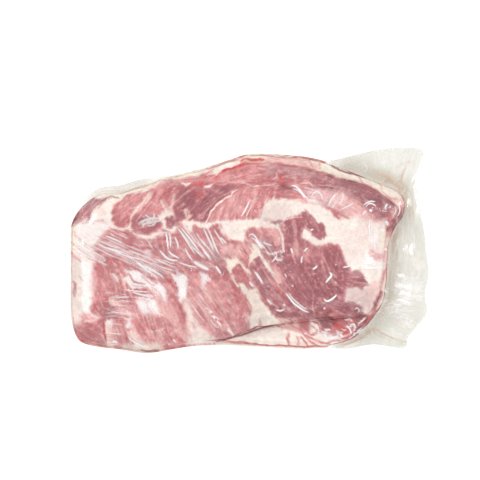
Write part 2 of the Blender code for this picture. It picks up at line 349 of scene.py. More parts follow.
# Areas of one colour, read off the photograph from above in its own pixels: colour, softness of the
# edge, strength, outline.
AREAS = [
    ("lean", 3, 1.0, [(60, 140), (440, 140), (440, 370), (60, 370)]),
    # left end
    ("cream", 3, 1.0, [(66, 222), (80, 222), (84, 245), (82, 262), (80, 300), (86, 322), (66, 322)]),
    ("fat", 4, 1.0, [
        (76, 222), (92, 220), (107, 222), (110, 226), (103, 233), (97, 240), (92, 250), (95, 262),
        (92, 270), (97, 280), (96, 292), (92, 305), (90, 313), (98, 320), (84, 322), (78, 305), (78, 262),
    ]),
    ("white", 5, 0.2, [(64, 258), (76, 256), (84, 266), (84, 312), (78, 320), (64, 322)]),
    # Painted shade along the pack's left side.
    ("grey", 6, 0.4, [(64, 254), (78, 256), (80, 290), (78, 316), (64, 320)]),
    ("white", 4, 0.9, [
        (80, 262), (90, 263), (95, 275), (95, 288), (91, 303), (88, 316), (98, 319), (86, 320), (82, 305),
        (81, 280),
    ]),
    ("pink", 3, 0.7, [(82, 314), (92, 320), (90, 326), (80, 326)]),
    ("dark", 2, 0.85, [
        (80, 201), (82, 198), (90, 197), (92, 200), (97, 197), (100, 200), (104, 200), (100, 204),
        (94, 207), (90, 209), (90, 216), (86, 219), (80, 220), (71, 224), (75, 213), (79, 206),
    ]),
    ("pink", 2, 0.5, [(78, 212), (84, 210), (89, 214), (86, 218), (79, 219), (75, 218)]),
    ("fat", 2, 1.0, [
        (97, 206), (103, 202), (109, 198), (119, 199), (115, 204), (112, 208), (111, 215), (109, 220),
        (106, 222), (100, 219), (90, 220), (90, 210),
    ]),
    ("salmon", 3, 0.6, [(96, 209), (104, 208), (106, 214), (97, 214)]),
    ("cream", 2, 1.0, [
        (60, 224), (74, 206), (90, 192), (104, 184), (126, 182), (150, 172), (180, 168), (205, 164),
        (210, 170), (202, 174), (183, 178), (175, 179), (162, 180), (155, 184), (150, 187), (138, 191),
        (129, 194), (119, 200), (108, 198), (96, 198), (90, 197), (81, 202), (72, 215),
    ]),
    # back left lobes
    ("pink", 3, 0.6, [(112, 206), (128, 196), (146, 192), (144, 199), (136, 208), (132, 216), (118, 214)]),
    ("salmon", 2, 0.9, [
        (148, 191), (152, 194), (149, 199), (143, 203), (140, 209), (134, 215), (131, 214), (139, 203),
    ]),
    ("salmon", 3, 0.8, [
        (172, 193), (177, 191), (176, 198), (173, 205), (173, 211), (168, 215), (162, 217), (162, 212),
        (168, 209), (170, 203),
    ]),
    ("red", 3, 0.6, [(152, 190), (163, 186), (172, 184), (172, 191), (168, 198), (158, 198), (152, 196)]),
    ("pink", 3, 0.6, [(145, 204), (156, 200), (163, 208), (163, 215), (150, 214), (141, 214)]),
    ("fat", 3, 1.0, [
        (108, 221), (113, 225), (118, 228), (125, 227), (130, 225), (132, 230), (140, 235), (152, 234),
        (158, 231), (165, 232), (172, 230), (177, 227), (176, 232), (165, 234), (157, 236), (150, 239),
        (138, 238), (130, 232), (124, 230), (115, 230), (108, 228),
    ]),
    ("dark", 2, 0.9, [
        (131, 221), (135, 218), (139, 216), (150, 217), (162, 220), (161, 224), (157, 228), (153, 231),
        (149, 232), (144, 233), (140, 231), (137, 227), (133, 224),
    ]),
    ("fat", 2, 0.9, [(160, 216), (164, 213), (176, 212), (177, 228), (172, 231), (164, 231), (161, 226)]),
    ("dark", 1.5, 1.0, [
        (165, 218), (168, 217), (172, 215), (174, 218), (176, 221), (176, 225), (172, 228), (167, 228),
        (165, 224),
    ]),
    ("dark", 3, 1.0, [
        (176, 193), (184, 186), (199, 187), (207, 188), (216, 184), (225, 183), (237, 184), (235, 188),
        (230, 192), (225, 196), (220, 200), (215, 205), (212, 209), (209, 214), (207, 220), (190, 219),
        (186, 218), (182, 225), (178, 226), (175, 219), (174, 213), (175, 205),
    ]),
    ("purple", 4, 0.6, [(180, 196), (190, 190), (197, 192), (192, 204), (186, 211), (180, 206)]),
    ("purple", 4, 0.5, [
        (204, 192), (214, 187), (228, 185), (222, 193), (212, 199), (206, 206), (200, 212), (198, 202),
    ]),
    ("fat", 2, 1.0, [
        (182, 222), (187, 220), (200, 221), (206, 222), (208, 228), (200, 227), (193, 225), (192, 231),
        (189, 231), (185, 226),
    ]),
    ("salmon", 1.5, 0.9, [(183, 211), (187, 208), (191, 213), (192, 218), (187, 219), (184, 216)]),
    ("red", 1.5, 0.8, [(186, 212), (188, 212), (189, 215), (187, 217)]),
    # back edge
    ("fat", 1.5, 1.0, [
        (206, 166), (225, 161), (240, 158), (242, 161), (240, 164), (235, 166), (228, 170), (222, 172),
        (215, 174), (207, 175), (204, 172),
    ]),
    ("cream", 1.5, 1.0, [
        (241, 160), (246, 153), (262, 152), (290, 154), (310, 157), (335, 162), (349, 170), (365, 174),
        (385, 181), (400, 189), (404, 198), (393, 198), (384, 194), (371, 186), (358, 181), (338, 178),
        (333, 174), (310, 168), (290, 164), (275, 162), (262, 162), (250, 162), (243, 163),
    ]),
    ("pink", 3, 0.6, [
        (206, 176), (222, 173), (243, 164), (262, 163), (264, 170), (246, 178), (228, 181), (206, 181),
    ]),
    ("pale", 4, 0.7, [
        (262, 156), (285, 157), (306, 159), (320, 163), (316, 168), (300, 166), (280, 163), (264, 162),
    ]),
    ("grey", 4, 0.55, [(264, 162), (276, 163), (277, 172), (266, 174)]),
    ("grey", 5, 0.6, [(284, 167), (300, 167), (315, 170), (314, 178), (300, 178), (288, 176)]),
    ("dark", 4, 0.4, [(268, 164), (286, 166), (312, 170), (316, 178), (296, 182), (276, 178)]),
    # back middle
    ("pink", 4, 0.75, [
        (236, 190), (250, 186), (272, 189), (275, 193), (270, 198), (264, 203), (262, 211), (259, 216),
        (250, 218), (232, 218), (222, 220), (212, 221), (208, 218), (213, 209), (220, 202), (228, 197),
    ]),
    ("pale", 5, 0.25, [(220, 206), (234, 198), (246, 194), (250, 204), (240, 214), (222, 217)]),
    ("dark", 3, 0.8, [(279, 181), (286, 180), (296, 186), (298, 191), (286, 191), (279, 189)]),
    ("deep", 2.5, 0.5, [(281, 184), (287, 184), (289, 189), (283, 190)]),
    ("pink", 5, 0.7, [(288, 182), (312, 182), (318, 189), (310, 198), (298, 196), (296, 188)]),
    ("lean", 4, 0.6, [(270, 189), (290, 190), (298, 196), (282, 198), (270, 199), (262, 206), (262, 196)]),
    # long muscle at the back right
    ("dark", 3, 1.0, [
        (310, 178), (314, 175), (316, 172), (324, 172), (332, 175), (337, 178), (349, 179), (355, 180),
        (363, 182), (369, 186), (376, 190), (384, 196), (391, 199), (397, 203), (394, 210), (392, 215),
        (388, 221), (378, 220), (372, 215), (369, 209), (364, 207), (362, 202), (357, 201), (351, 197),
        (347, 193), (332, 191), (324, 188), (310, 188),
    ]),
    ("purple", 4, 0.85, [
        (340, 180), (352, 180), (363, 184), (375, 191), (390, 200), (394, 206), (386, 210), (372, 204),
        (360, 198), (350, 191), (342, 187),
    ]),
    ("pale", 4, 1.0, [
        (306, 189), (324, 190), (347, 194), (362, 204), (369, 211), (372, 217), (366, 224), (358, 219),
        (345, 216), (339, 210), (330, 207), (319, 196), (310, 200), (302, 200),
    ]),
    ("pink", 3, 0.8, [(370, 213), (380, 219), (394, 214), (393, 224), (378, 226), (368, 222)]),
    ("salmon", 3, 0.9, [
        (393, 200), (402, 196), (407, 203), (404, 213), (398, 217), (392, 213), (397, 206),
    ]),
    # big fat at the right
    ("fat", 2.5, 1.0, [
        (205, 222), (221, 220), (237, 219), (258, 217), (262, 209), (264, 204), (270, 199), (280, 198),
        (297, 198), (306, 202), (309, 198), (316, 198), (324, 206), (332, 211), (339, 217), (353, 216),
        (360, 220), (366, 236), (373, 247), (387, 250), (389, 262), (384, 275), (381, 289), (381, 301),
        (373, 312), (365, 317), (357, 310), (345, 302), (346, 289), (352, 276), (343, 255), (340, 246),
        (330, 244), (320, 246), (312, 244), (304, 240), (302, 232), (306, 222), (301, 214), (290, 219),
        (281, 224), (284, 238), (285, 250), (281, 252), (279, 232), (262, 228), (248, 228), (246, 237),
        (242, 242), (235, 241), (226, 237), (221, 231), (219, 224), (206, 226),
    ]),
    ("fat", 6, 0.9, [(358, 218), (374, 222), (396, 226), (396, 300), (380, 306), (380, 270), (370, 250)]),
    ("salmon", 7, 0.5, [
        (360, 218), (376, 222), (392, 226), (393, 248), (386, 252), (372, 250), (366, 238),
    ]),
    ("salmon", 7, 0.55, [(346, 230), (362, 230), (366, 255), (350, 262), (342, 250)]),
    ("grey", 6, 0.35, [(262, 208), (285, 204), (292, 214), (276, 222), (264, 220)]),
    # Painted shade cast by the film on the fat.
    ("grey", 1.5, 0.8, [(269, 222), (272, 220), (279, 220), (282, 220), (280, 224), (271, 224)]),
    ("pale", 5, 0.5, [(368, 288), (380, 280), (384, 290), (378, 304), (368, 312)]),
    # Painted shade on the fat.
    ("grey", 8, 0.45, [(350, 290), (370, 290), (370, 308), (360, 310), (348, 300)]),
    ("pink", 3, 0.9, [(371, 249), (377, 252), (384, 254), (387, 259), (380, 262), (374, 259), (370, 254)]),
    # muscles in the middle
    ("lean", 2.5, 1.0, [
        (246, 238), (249, 230), (262, 229), (280, 231), (282, 240), (282, 250), (276, 262), (268, 262),
        (262, 253), (256, 246), (248, 246),
    ]),
    ("dark", 3, 0.8, [(262, 239), (272, 238), (275, 246), (268, 251), (262, 247)]),
    ("pale", 5, 0.7, [(262, 226), (276, 228), (283, 234), (282, 246), (276, 242), (266, 234)]),
    ("dark", 2, 1.0, [
        (282, 229), (280, 226), (284, 223), (290, 220), (303, 219), (306, 221), (305, 228), (303, 232),
        (302, 239), (304, 240), (310, 242), (312, 252), (284, 252), (284, 240),
    ]),
    ("dark", 1.5, 1.0, [
        (302, 211), (305, 210), (310, 214), (314, 218), (317, 222), (323, 223), (326, 227), (328, 233),
        (327, 237), (320, 239), (314, 237), (312, 234), (311, 230), (306, 228), (306, 222), (303, 218),
    ]),
    ("dark", 2, 1.0, [
        (262, 252), (272, 248), (284, 246), (300, 244), (312, 246), (322, 248), (333, 246), (339, 247),
        (340, 252), (343, 255), (345, 262), (347, 267), (350, 270), (351, 275), (350, 284), (346, 288),
        (340, 285), (341, 290), (346, 292), (346, 295), (345, 304), (352, 303), (357, 305), (361, 307),
        (361, 311), (364, 315), (367, 318), (350, 321), (318, 322), (296, 321), (278, 317), (271, 312),
        (266, 304), (260, 294), (257, 286), (252, 277), (251, 263), (255, 259), (262, 259), (268, 268),
        (275, 277), (281, 283), (276, 270), (270, 262),
    ]),
    ("purple", 12, 0.55, [
        (290, 262), (338, 262), (344, 284), (338, 300), (316, 312), (296, 296), (286, 276),
    ]),
    ("lean", 8, 0.45, [(300, 246), (322, 250), (318, 264), (296, 262), (288, 252)]),
    ("purple", 5, 0.6, [(346, 304), (356, 306), (363, 318), (346, 318)]),
    ("purple", 6, 0.6, [(272, 308), (290, 310), (300, 317), (286, 319), (276, 316)]),
    ("deep", 4, 0.45, [(314, 314), (346, 315), (346, 319), (322, 320)]),
    ("blood", 4, 0.55, [(322, 312), (332, 310), (336, 316), (324, 318)]),
    ("blood", 3, 0.5, [(273, 290), (283, 292), (287, 299), (278, 295)]),
    ("pink", 3, 0.7, [(272, 280), (281, 286), (285, 293), (275, 290), (270, 284)]),
    ("dark", 1.5, 1.0, [
        (350, 276), (352, 276), (353, 272), (358, 270), (364, 273), (366, 278), (369, 281), (369, 285),
        (366, 287), (362, 290), (358, 288), (351, 289), (348, 288), (348, 283),
    ]),
    ("purple", 2, 0.7, [(352, 279), (364, 279), (368, 283), (363, 287), (352, 287), (350, 284)]),
    # diagonal bundles left of the big muscle
    ("pale", 4, 0.8, [(220, 246), (232, 244), (246, 246), (252, 252), (248, 258), (236, 258), (224, 254)]),
    ("red", 3, 0.9, [(241, 251), (247, 250), (252, 257), (251, 261), (246, 259)]),
    ("dark", 3, 0.8, [
        (208, 256), (219, 253), (224, 257), (227, 262), (228, 268), (227, 274), (223, 275), (220, 270),
        (214, 264), (208, 260),
    ]),
    ("cream", 1.5, 1.0, [
        (224, 256), (228, 258), (236, 258), (241, 262), (246, 266), (250, 271), (250, 274), (246, 272),
        (242, 268), (238, 265), (237, 267), (232, 270), (231, 275), (233, 280), (237, 283), (241, 286),
        (238, 288), (233, 282), (230, 278), (228, 269), (227, 263),
    ]),
    ("lean", 2, 0.9, [
        (236, 265), (240, 266), (246, 271), (250, 276), (251, 280), (250, 283), (246, 286), (241, 285),
        (237, 281), (233, 277), (233, 272),
    ]),
    ("cream", 1.5, 1.0, [
        (252, 245), (258, 245), (260, 250), (262, 256), (266, 262), (270, 266), (273, 269), (276, 273),
        (278, 278), (281, 284), (278, 284), (274, 278), (269, 272), (266, 268), (263, 263), (260, 258),
        (256, 258), (252, 261), (250, 267), (249, 262), (250, 257), (253, 251),
    ]),
    ("cream", 1.5, 1.0, [
        (240, 284), (246, 286), (249, 290), (256, 290), (259, 295), (261, 300), (264, 304), (268, 308),
        (272, 314), (276, 318), (281, 321), (281, 326), (272, 327), (264, 328), (256, 330), (251, 329),
        (250, 321), (252, 314), (252, 309), (250, 305), (247, 299), (244, 294), (240, 289),
    ]),
    ("dark", 1.5, 0.7, [(259, 321), (260, 321), (262, 328), (259, 328)]),
    ("pink", 6, 0.8, [(190, 276), (210, 280), (224, 292), (230, 312), (226, 332), (206, 336), (192, 316)]),
    ("pale", 5, 0.5, [(195, 282), (206, 284), (214, 298), (210, 308), (198, 300)]),
    ("lean", 5, 0.7, [(230, 302), (240, 303), (244, 318), (246, 330), (232, 336), (226, 322)]),
    ("dark", 3, 0.7, [(243, 321), (249, 322), (249, 330), (243, 331)]),
    ("dark", 4, 0.5, [(217, 328), (226, 326), (229, 334), (219, 337)]),
    ("pale", 4, 0.2, [(238, 288), (243, 294), (248, 305), (244, 312), (238, 304), (235, 295)]),
    ("lean", 3, 0.7, [(224, 292), (236, 298), (243, 312), (241, 326), (230, 320), (224, 304)]),
    ("fat", 2, 0.8, [(234, 299), (239, 302), (244, 308), (248, 318), (244, 315), (238, 306), (234, 302)]),
    # front left ribs
    ("lean", 5, 0.6, [(94, 262), (108, 258), (126, 264), (132, 284), (118, 290), (100, 284), (94, 272)]),
    ("pink", 4, 0.7, [(90, 276), (97, 276), (106, 290), (104, 304), (94, 306), (90, 296)]),
    ("red", 5, 0.25, [
        (95, 263), (118, 258), (131, 265), (125, 271), (122, 279), (130, 289), (149, 292), (153, 302),
        (134, 300), (133, 309), (120, 309), (119, 316), (103, 316), (91, 312), (96, 299), (96, 281),
        (92, 271),
    ]),
    ("dark", 6, 0.25, [(100, 264), (116, 262), (122, 274), (112, 290), (102, 284)]),
    ("dark", 4, 0.5, [(98, 306), (120, 307), (118, 317), (102, 318)]),
    ("salmon", 1.5, 0.8, [(108, 299), (117, 299), (117, 306), (110, 306)]),
    ("dark", 3, 0.5, [
        (72, 326), (80, 323), (96, 323), (101, 320), (104, 321), (103, 327), (104, 335), (105, 344),
        (104, 349), (96, 347), (88, 345), (80, 342), (76, 338), (73, 332),
    ]),
    ("pale", 3, 0.8, [(105, 322), (112, 321), (122, 328), (125, 340), (124, 349), (107, 349), (105, 332)]),
    ("fat", 2, 0.95, [
        (104, 322), (110, 321), (111, 327), (108, 331), (110, 339), (112, 348), (107, 348), (105, 332),
    ]),
    ("lean", 3, 0.5, [(111, 318), (121, 318), (126, 332), (129, 348), (113, 348)]),
    ("white", 2, 0.9, [
        (119, 308), (125, 310), (131, 313), (137, 318), (132, 317), (130, 321), (130, 328), (126, 329),
        (125, 322), (121, 315),
    ]),
    ("fat", 3, 0.9, [
        (129, 332), (135, 333), (140, 339), (146, 346), (150, 351), (134, 351), (131, 343), (129, 337),
    ]),
    ("pink", 4, 0.5, [(132, 318), (141, 320), (148, 334), (150, 346), (138, 342), (132, 330)]),
    ("pale", 5, 0.9, [(149, 296), (165, 300), (171, 308), (170, 322), (160, 317), (148, 312)]),
    ("lean", 4, 0.6, [(142, 319), (160, 320), (163, 329), (148, 329)]),
    ("fat", 1.5, 0.8, [
        (147, 330), (152, 333), (157, 332), (164, 330), (160, 334), (155, 335), (153, 340), (150, 336),
    ]),
    ("pink", 3, 0.8, [(151, 337), (158, 335), (165, 337), (167, 347), (152, 349)]),
    ("grey", 4, 0.4, [(152, 338), (160, 336), (164, 342), (156, 346)]),
    ("red", 4, 0.8, [(167, 334), (176, 334), (187, 341), (186, 350), (168, 352)]),
    ("cream", 3, 0.75, [(122, 346), (140, 347), (150, 344), (160, 347), (164, 356), (122, 356)]),
    ("cream", 3, 0.5, [(74, 340), (84, 345), (100, 348), (100, 354), (80, 352), (70, 344)]),
    ("grey", 4, 0.5, [(186, 332), (194, 334), (198, 344), (190, 348), (184, 342)]),
    ("pale", 4, 0.9, [
        (166, 288), (178, 296), (186, 308), (192, 326), (198, 338), (188, 342), (178, 336), (170, 322),
        (166, 304),
    ]),
    ("lean", 3.5, 0.8, [
        (166, 286), (172, 290), (180, 303), (186, 313), (183, 322), (185, 334), (180, 330), (179, 318),
        (172, 304), (166, 296),
    ]),
    ("fat", 4, 0.8, [(184, 308), (189, 314), (196, 328), (208, 336), (214, 344), (192, 346), (188, 332)]),
    # Painted glare from the film.
    ("white", 2.5, 1.0, [
        (171, 277), (175, 276), (185, 275), (187, 282), (186, 292), (184, 299), (180, 302), (178, 295),
        (177, 289), (175, 282),
    ]),
    ("red", 2, 0.9, [(163, 276), (170, 276), (175, 283), (177, 289), (170, 286), (162, 285)]),
    # Painted glare from the film.
    ("white", 3, 0.9, [
        (200, 274), (207, 275), (208, 282), (205, 287), (208, 292), (203, 290), (201, 282),
    ]),
    # painted glare where the film stands off the ribs
    ("white", 1.5, 0.9, [
        (125, 271), (133, 271), (140, 273), (150, 280), (155, 284), (164, 287), (166, 293), (167, 304),
        (163, 300), (157, 293), (151, 289), (144, 288), (135, 289), (129, 286), (123, 280), (127, 278),
        (128, 275),
    ]),
    ("white", 2, 0.8, [
        (135, 302), (141, 301), (150, 302), (155, 306), (156, 313), (150, 316), (144, 315), (138, 311),
        (135, 306),
    ]),
    ("white", 3, 0.6, [(144, 250), (150, 250), (151, 256), (145, 257)]),
    # lower rack at the front right
    ("fat", 1.5, 1.0, [
        (217, 344), (229, 339), (238, 336), (249, 332), (256, 330), (264, 328), (272, 327), (280, 327),
        (300, 322), (316, 321), (322, 326), (322, 334), (330, 336), (348, 340), (362, 336), (372, 326),
        (376, 340), (340, 356), (217, 356),
    ]),
    ("pink", 3, 0.8, [(280, 320), (296, 322), (310, 322), (309, 334), (302, 334), (292, 326), (282, 325)]),
    ("dark", 2, 0.8, [(298, 322), (308, 321), (308, 332), (303, 331)]),
    ("dark", 1.5, 0.9, [
        (321, 322), (327, 320), (332, 322), (333, 326), (330, 330), (324, 330), (321, 326),
    ]),
    ("blood", 3, 0.9, [
        (331, 322), (340, 322), (350, 328), (358, 331), (356, 339), (346, 339), (339, 331), (333, 328),
    ]),
    ("red", 3, 0.9, [
        (340, 320), (352, 320), (366, 317), (372, 320), (364, 334), (352, 342), (346, 338), (352, 330),
    ]),
    ("purple", 3, 0.6, [(358, 320), (366, 318), (368, 322), (362, 332), (356, 333)]),
    # tones of single places
    ("fat", 3, 0.85, [
        (182, 298), (186, 300), (188, 306), (194, 316), (200, 325), (207, 333), (212, 340), (212, 346),
        (186, 347), (190, 338), (194, 330), (189, 320), (184, 308),
    ]),
    ("salmon", 2.5, 0.7, [(203, 290), (207, 291), (212, 300), (216, 307), (212, 308), (206, 300)]),
    ("fat", 2, 0.35, [(211, 312), (214, 312), (222, 322), (229, 334), (226, 336), (218, 326)]),
    ("lean", 6, 0.45, [(196, 304), (216, 302), (228, 312), (230, 326), (214, 332), (204, 322)]),
    ("lean", 6, 0.25, [(196, 284), (216, 284), (228, 300), (232, 322), (214, 330), (204, 312)]),
    # Painted glare from the film.
    ("white", 3, 0.6, [(146, 281), (158, 283), (168, 290), (168, 302), (158, 298), (148, 290)]),
    ("grey", 5, 0.32, [
        (244, 286), (254, 284), (262, 300), (268, 322), (256, 328), (246, 330), (244, 310),
    ]),
    ("pink", 2, 0.6, [(272, 264), (276, 266), (284, 282), (282, 288), (276, 280)]),
    # Painted shade on the fat.
    ("grey", 6, 0.35, [(348, 288), (370, 286), (375, 304), (366, 312), (350, 306)]),
    ("pale", 5, 0.35, [(168, 328), (186, 328), (190, 346), (170, 348)]),
    ("pale", 6, 0.25, [(98, 268), (120, 268), (120, 292), (98, 292)]),
    ("pale", 6, 0.25, [(298, 244), (320, 244), (320, 260), (298, 260)]),
    ("salmon", 3, 0.7, [(280, 320), (290, 319), (300, 322), (300, 331), (290, 330), (280, 327)]),
    ("lean", 2, 0.8, [(299, 323), (307, 321), (308, 328), (304, 332), (300, 329)]),
    ("purple", 2.5, 0.6, [(321, 320), (328, 319), (334, 322), (333, 327), (328, 330), (322, 327)]),
    ("dark", 3, 0.6, [(316, 308), (334, 308), (340, 315), (330, 319), (318, 318)]),
    ("purple", 3, 0.55, [
        (345, 304), (352, 303), (358, 306), (364, 314), (366, 318), (356, 320), (346, 318), (343, 310),
    ]),
    ("dark", 2, 0.75, [
        (70, 225), (74, 215), (82, 205), (90, 199), (97, 200), (103, 199), (98, 203), (92, 209), (90, 216),
        (86, 220), (79, 222),
    ]),
    ("pink", 6, 0.35, [(72, 322), (98, 320), (100, 346), (74, 346)]),
    ("salmon", 4, 0.5, [(101, 332), (114, 330), (116, 350), (104, 350)]),
    ("white", 8, 0.3, [(345, 224), (384, 222), (386, 268), (350, 272)]),
    ("lean", 4, 1.0, [(230, 299), (237, 297), (244, 304), (244, 313), (236, 315), (231, 308)]),
    ("lean", 3, 0.95, [(229, 297), (238, 295), (246, 303), (247, 314), (236, 316), (230, 308)]),
    ("cream", 2, 0.7, [(230, 276), (233, 275), (236, 280), (239, 286), (236, 287), (232, 281)]),
    ("pink", 5, 0.5, [(120, 300), (134, 304), (138, 318), (126, 322), (116, 312)]),
    # Painted glare from the film.
    ("white", 3, 0.6, [(134, 299), (146, 297), (156, 302), (158, 315), (148, 318), (138, 314)]),
    # Painted shade cast by the film on the fat.
    ("grey", 2, 0.7, [(266, 217), (278, 219), (285, 223), (282, 226), (272, 223), (265, 220)]),
    ("red", 6, 0.3, [(230, 298), (244, 298), (246, 314), (232, 314)]),
    ("red", 7, 0.22, [(198, 308), (224, 308), (226, 328), (200, 328)]),
    # Painted shade cast by the film on the fat, in lilac.
    ("purple", 1.5, 0.5, [(270, 221), (276, 219), (281, 218), (283, 221), (279, 224), (272, 223)]),
    ("lean", 4, 0.6, [(166, 288), (172, 292), (180, 306), (186, 322), (180, 326), (172, 312), (166, 298)]),
    # right edge
    # Painted highlights from the film's creases.
    ("white", 4, 0.6, [(370, 231), (378, 229), (381, 240), (374, 247)]),
    ("cream", 3, 0.7, [(381, 230), (389, 232), (388, 249), (381, 250)]),
    ("cream", 2, 0.9, [
        (391, 230), (410, 216), (412, 240), (398, 250), (394, 262), (391, 275), (389, 292), (387, 240),
    ]),
    ("salmon", 2.5, 0.8, [
        (386, 230), (392, 230), (392, 262), (389, 276), (384, 289), (382, 280), (386, 266), (388, 250),
    ]),
    ("pale", 3, 0.8, [
        (384, 252), (390, 246), (391, 262), (388, 276), (384, 290), (381, 300), (378, 306), (382, 286),
        (385, 268),
    ]),
    ("cream", 2, 0.8, [
        (384, 284), (388, 280), (388, 298), (382, 310), (374, 318), (378, 308), (383, 298),
    ]),
    ("red", 3, 0.8, [(386, 222), (396, 210), (404, 204), (410, 208), (408, 222), (398, 232), (390, 238)]),
    ("purple", 1.5, 1.0, [
        (381, 292), (384, 293), (383, 297), (381, 299), (379, 305), (377, 309), (375, 304), (378, 298),
    ]),
    ("deep", 2, 0.85, [
        (389, 231), (392, 223), (398, 216), (403, 211), (409, 213), (408, 221), (402, 226), (397, 231),
    ]),
]

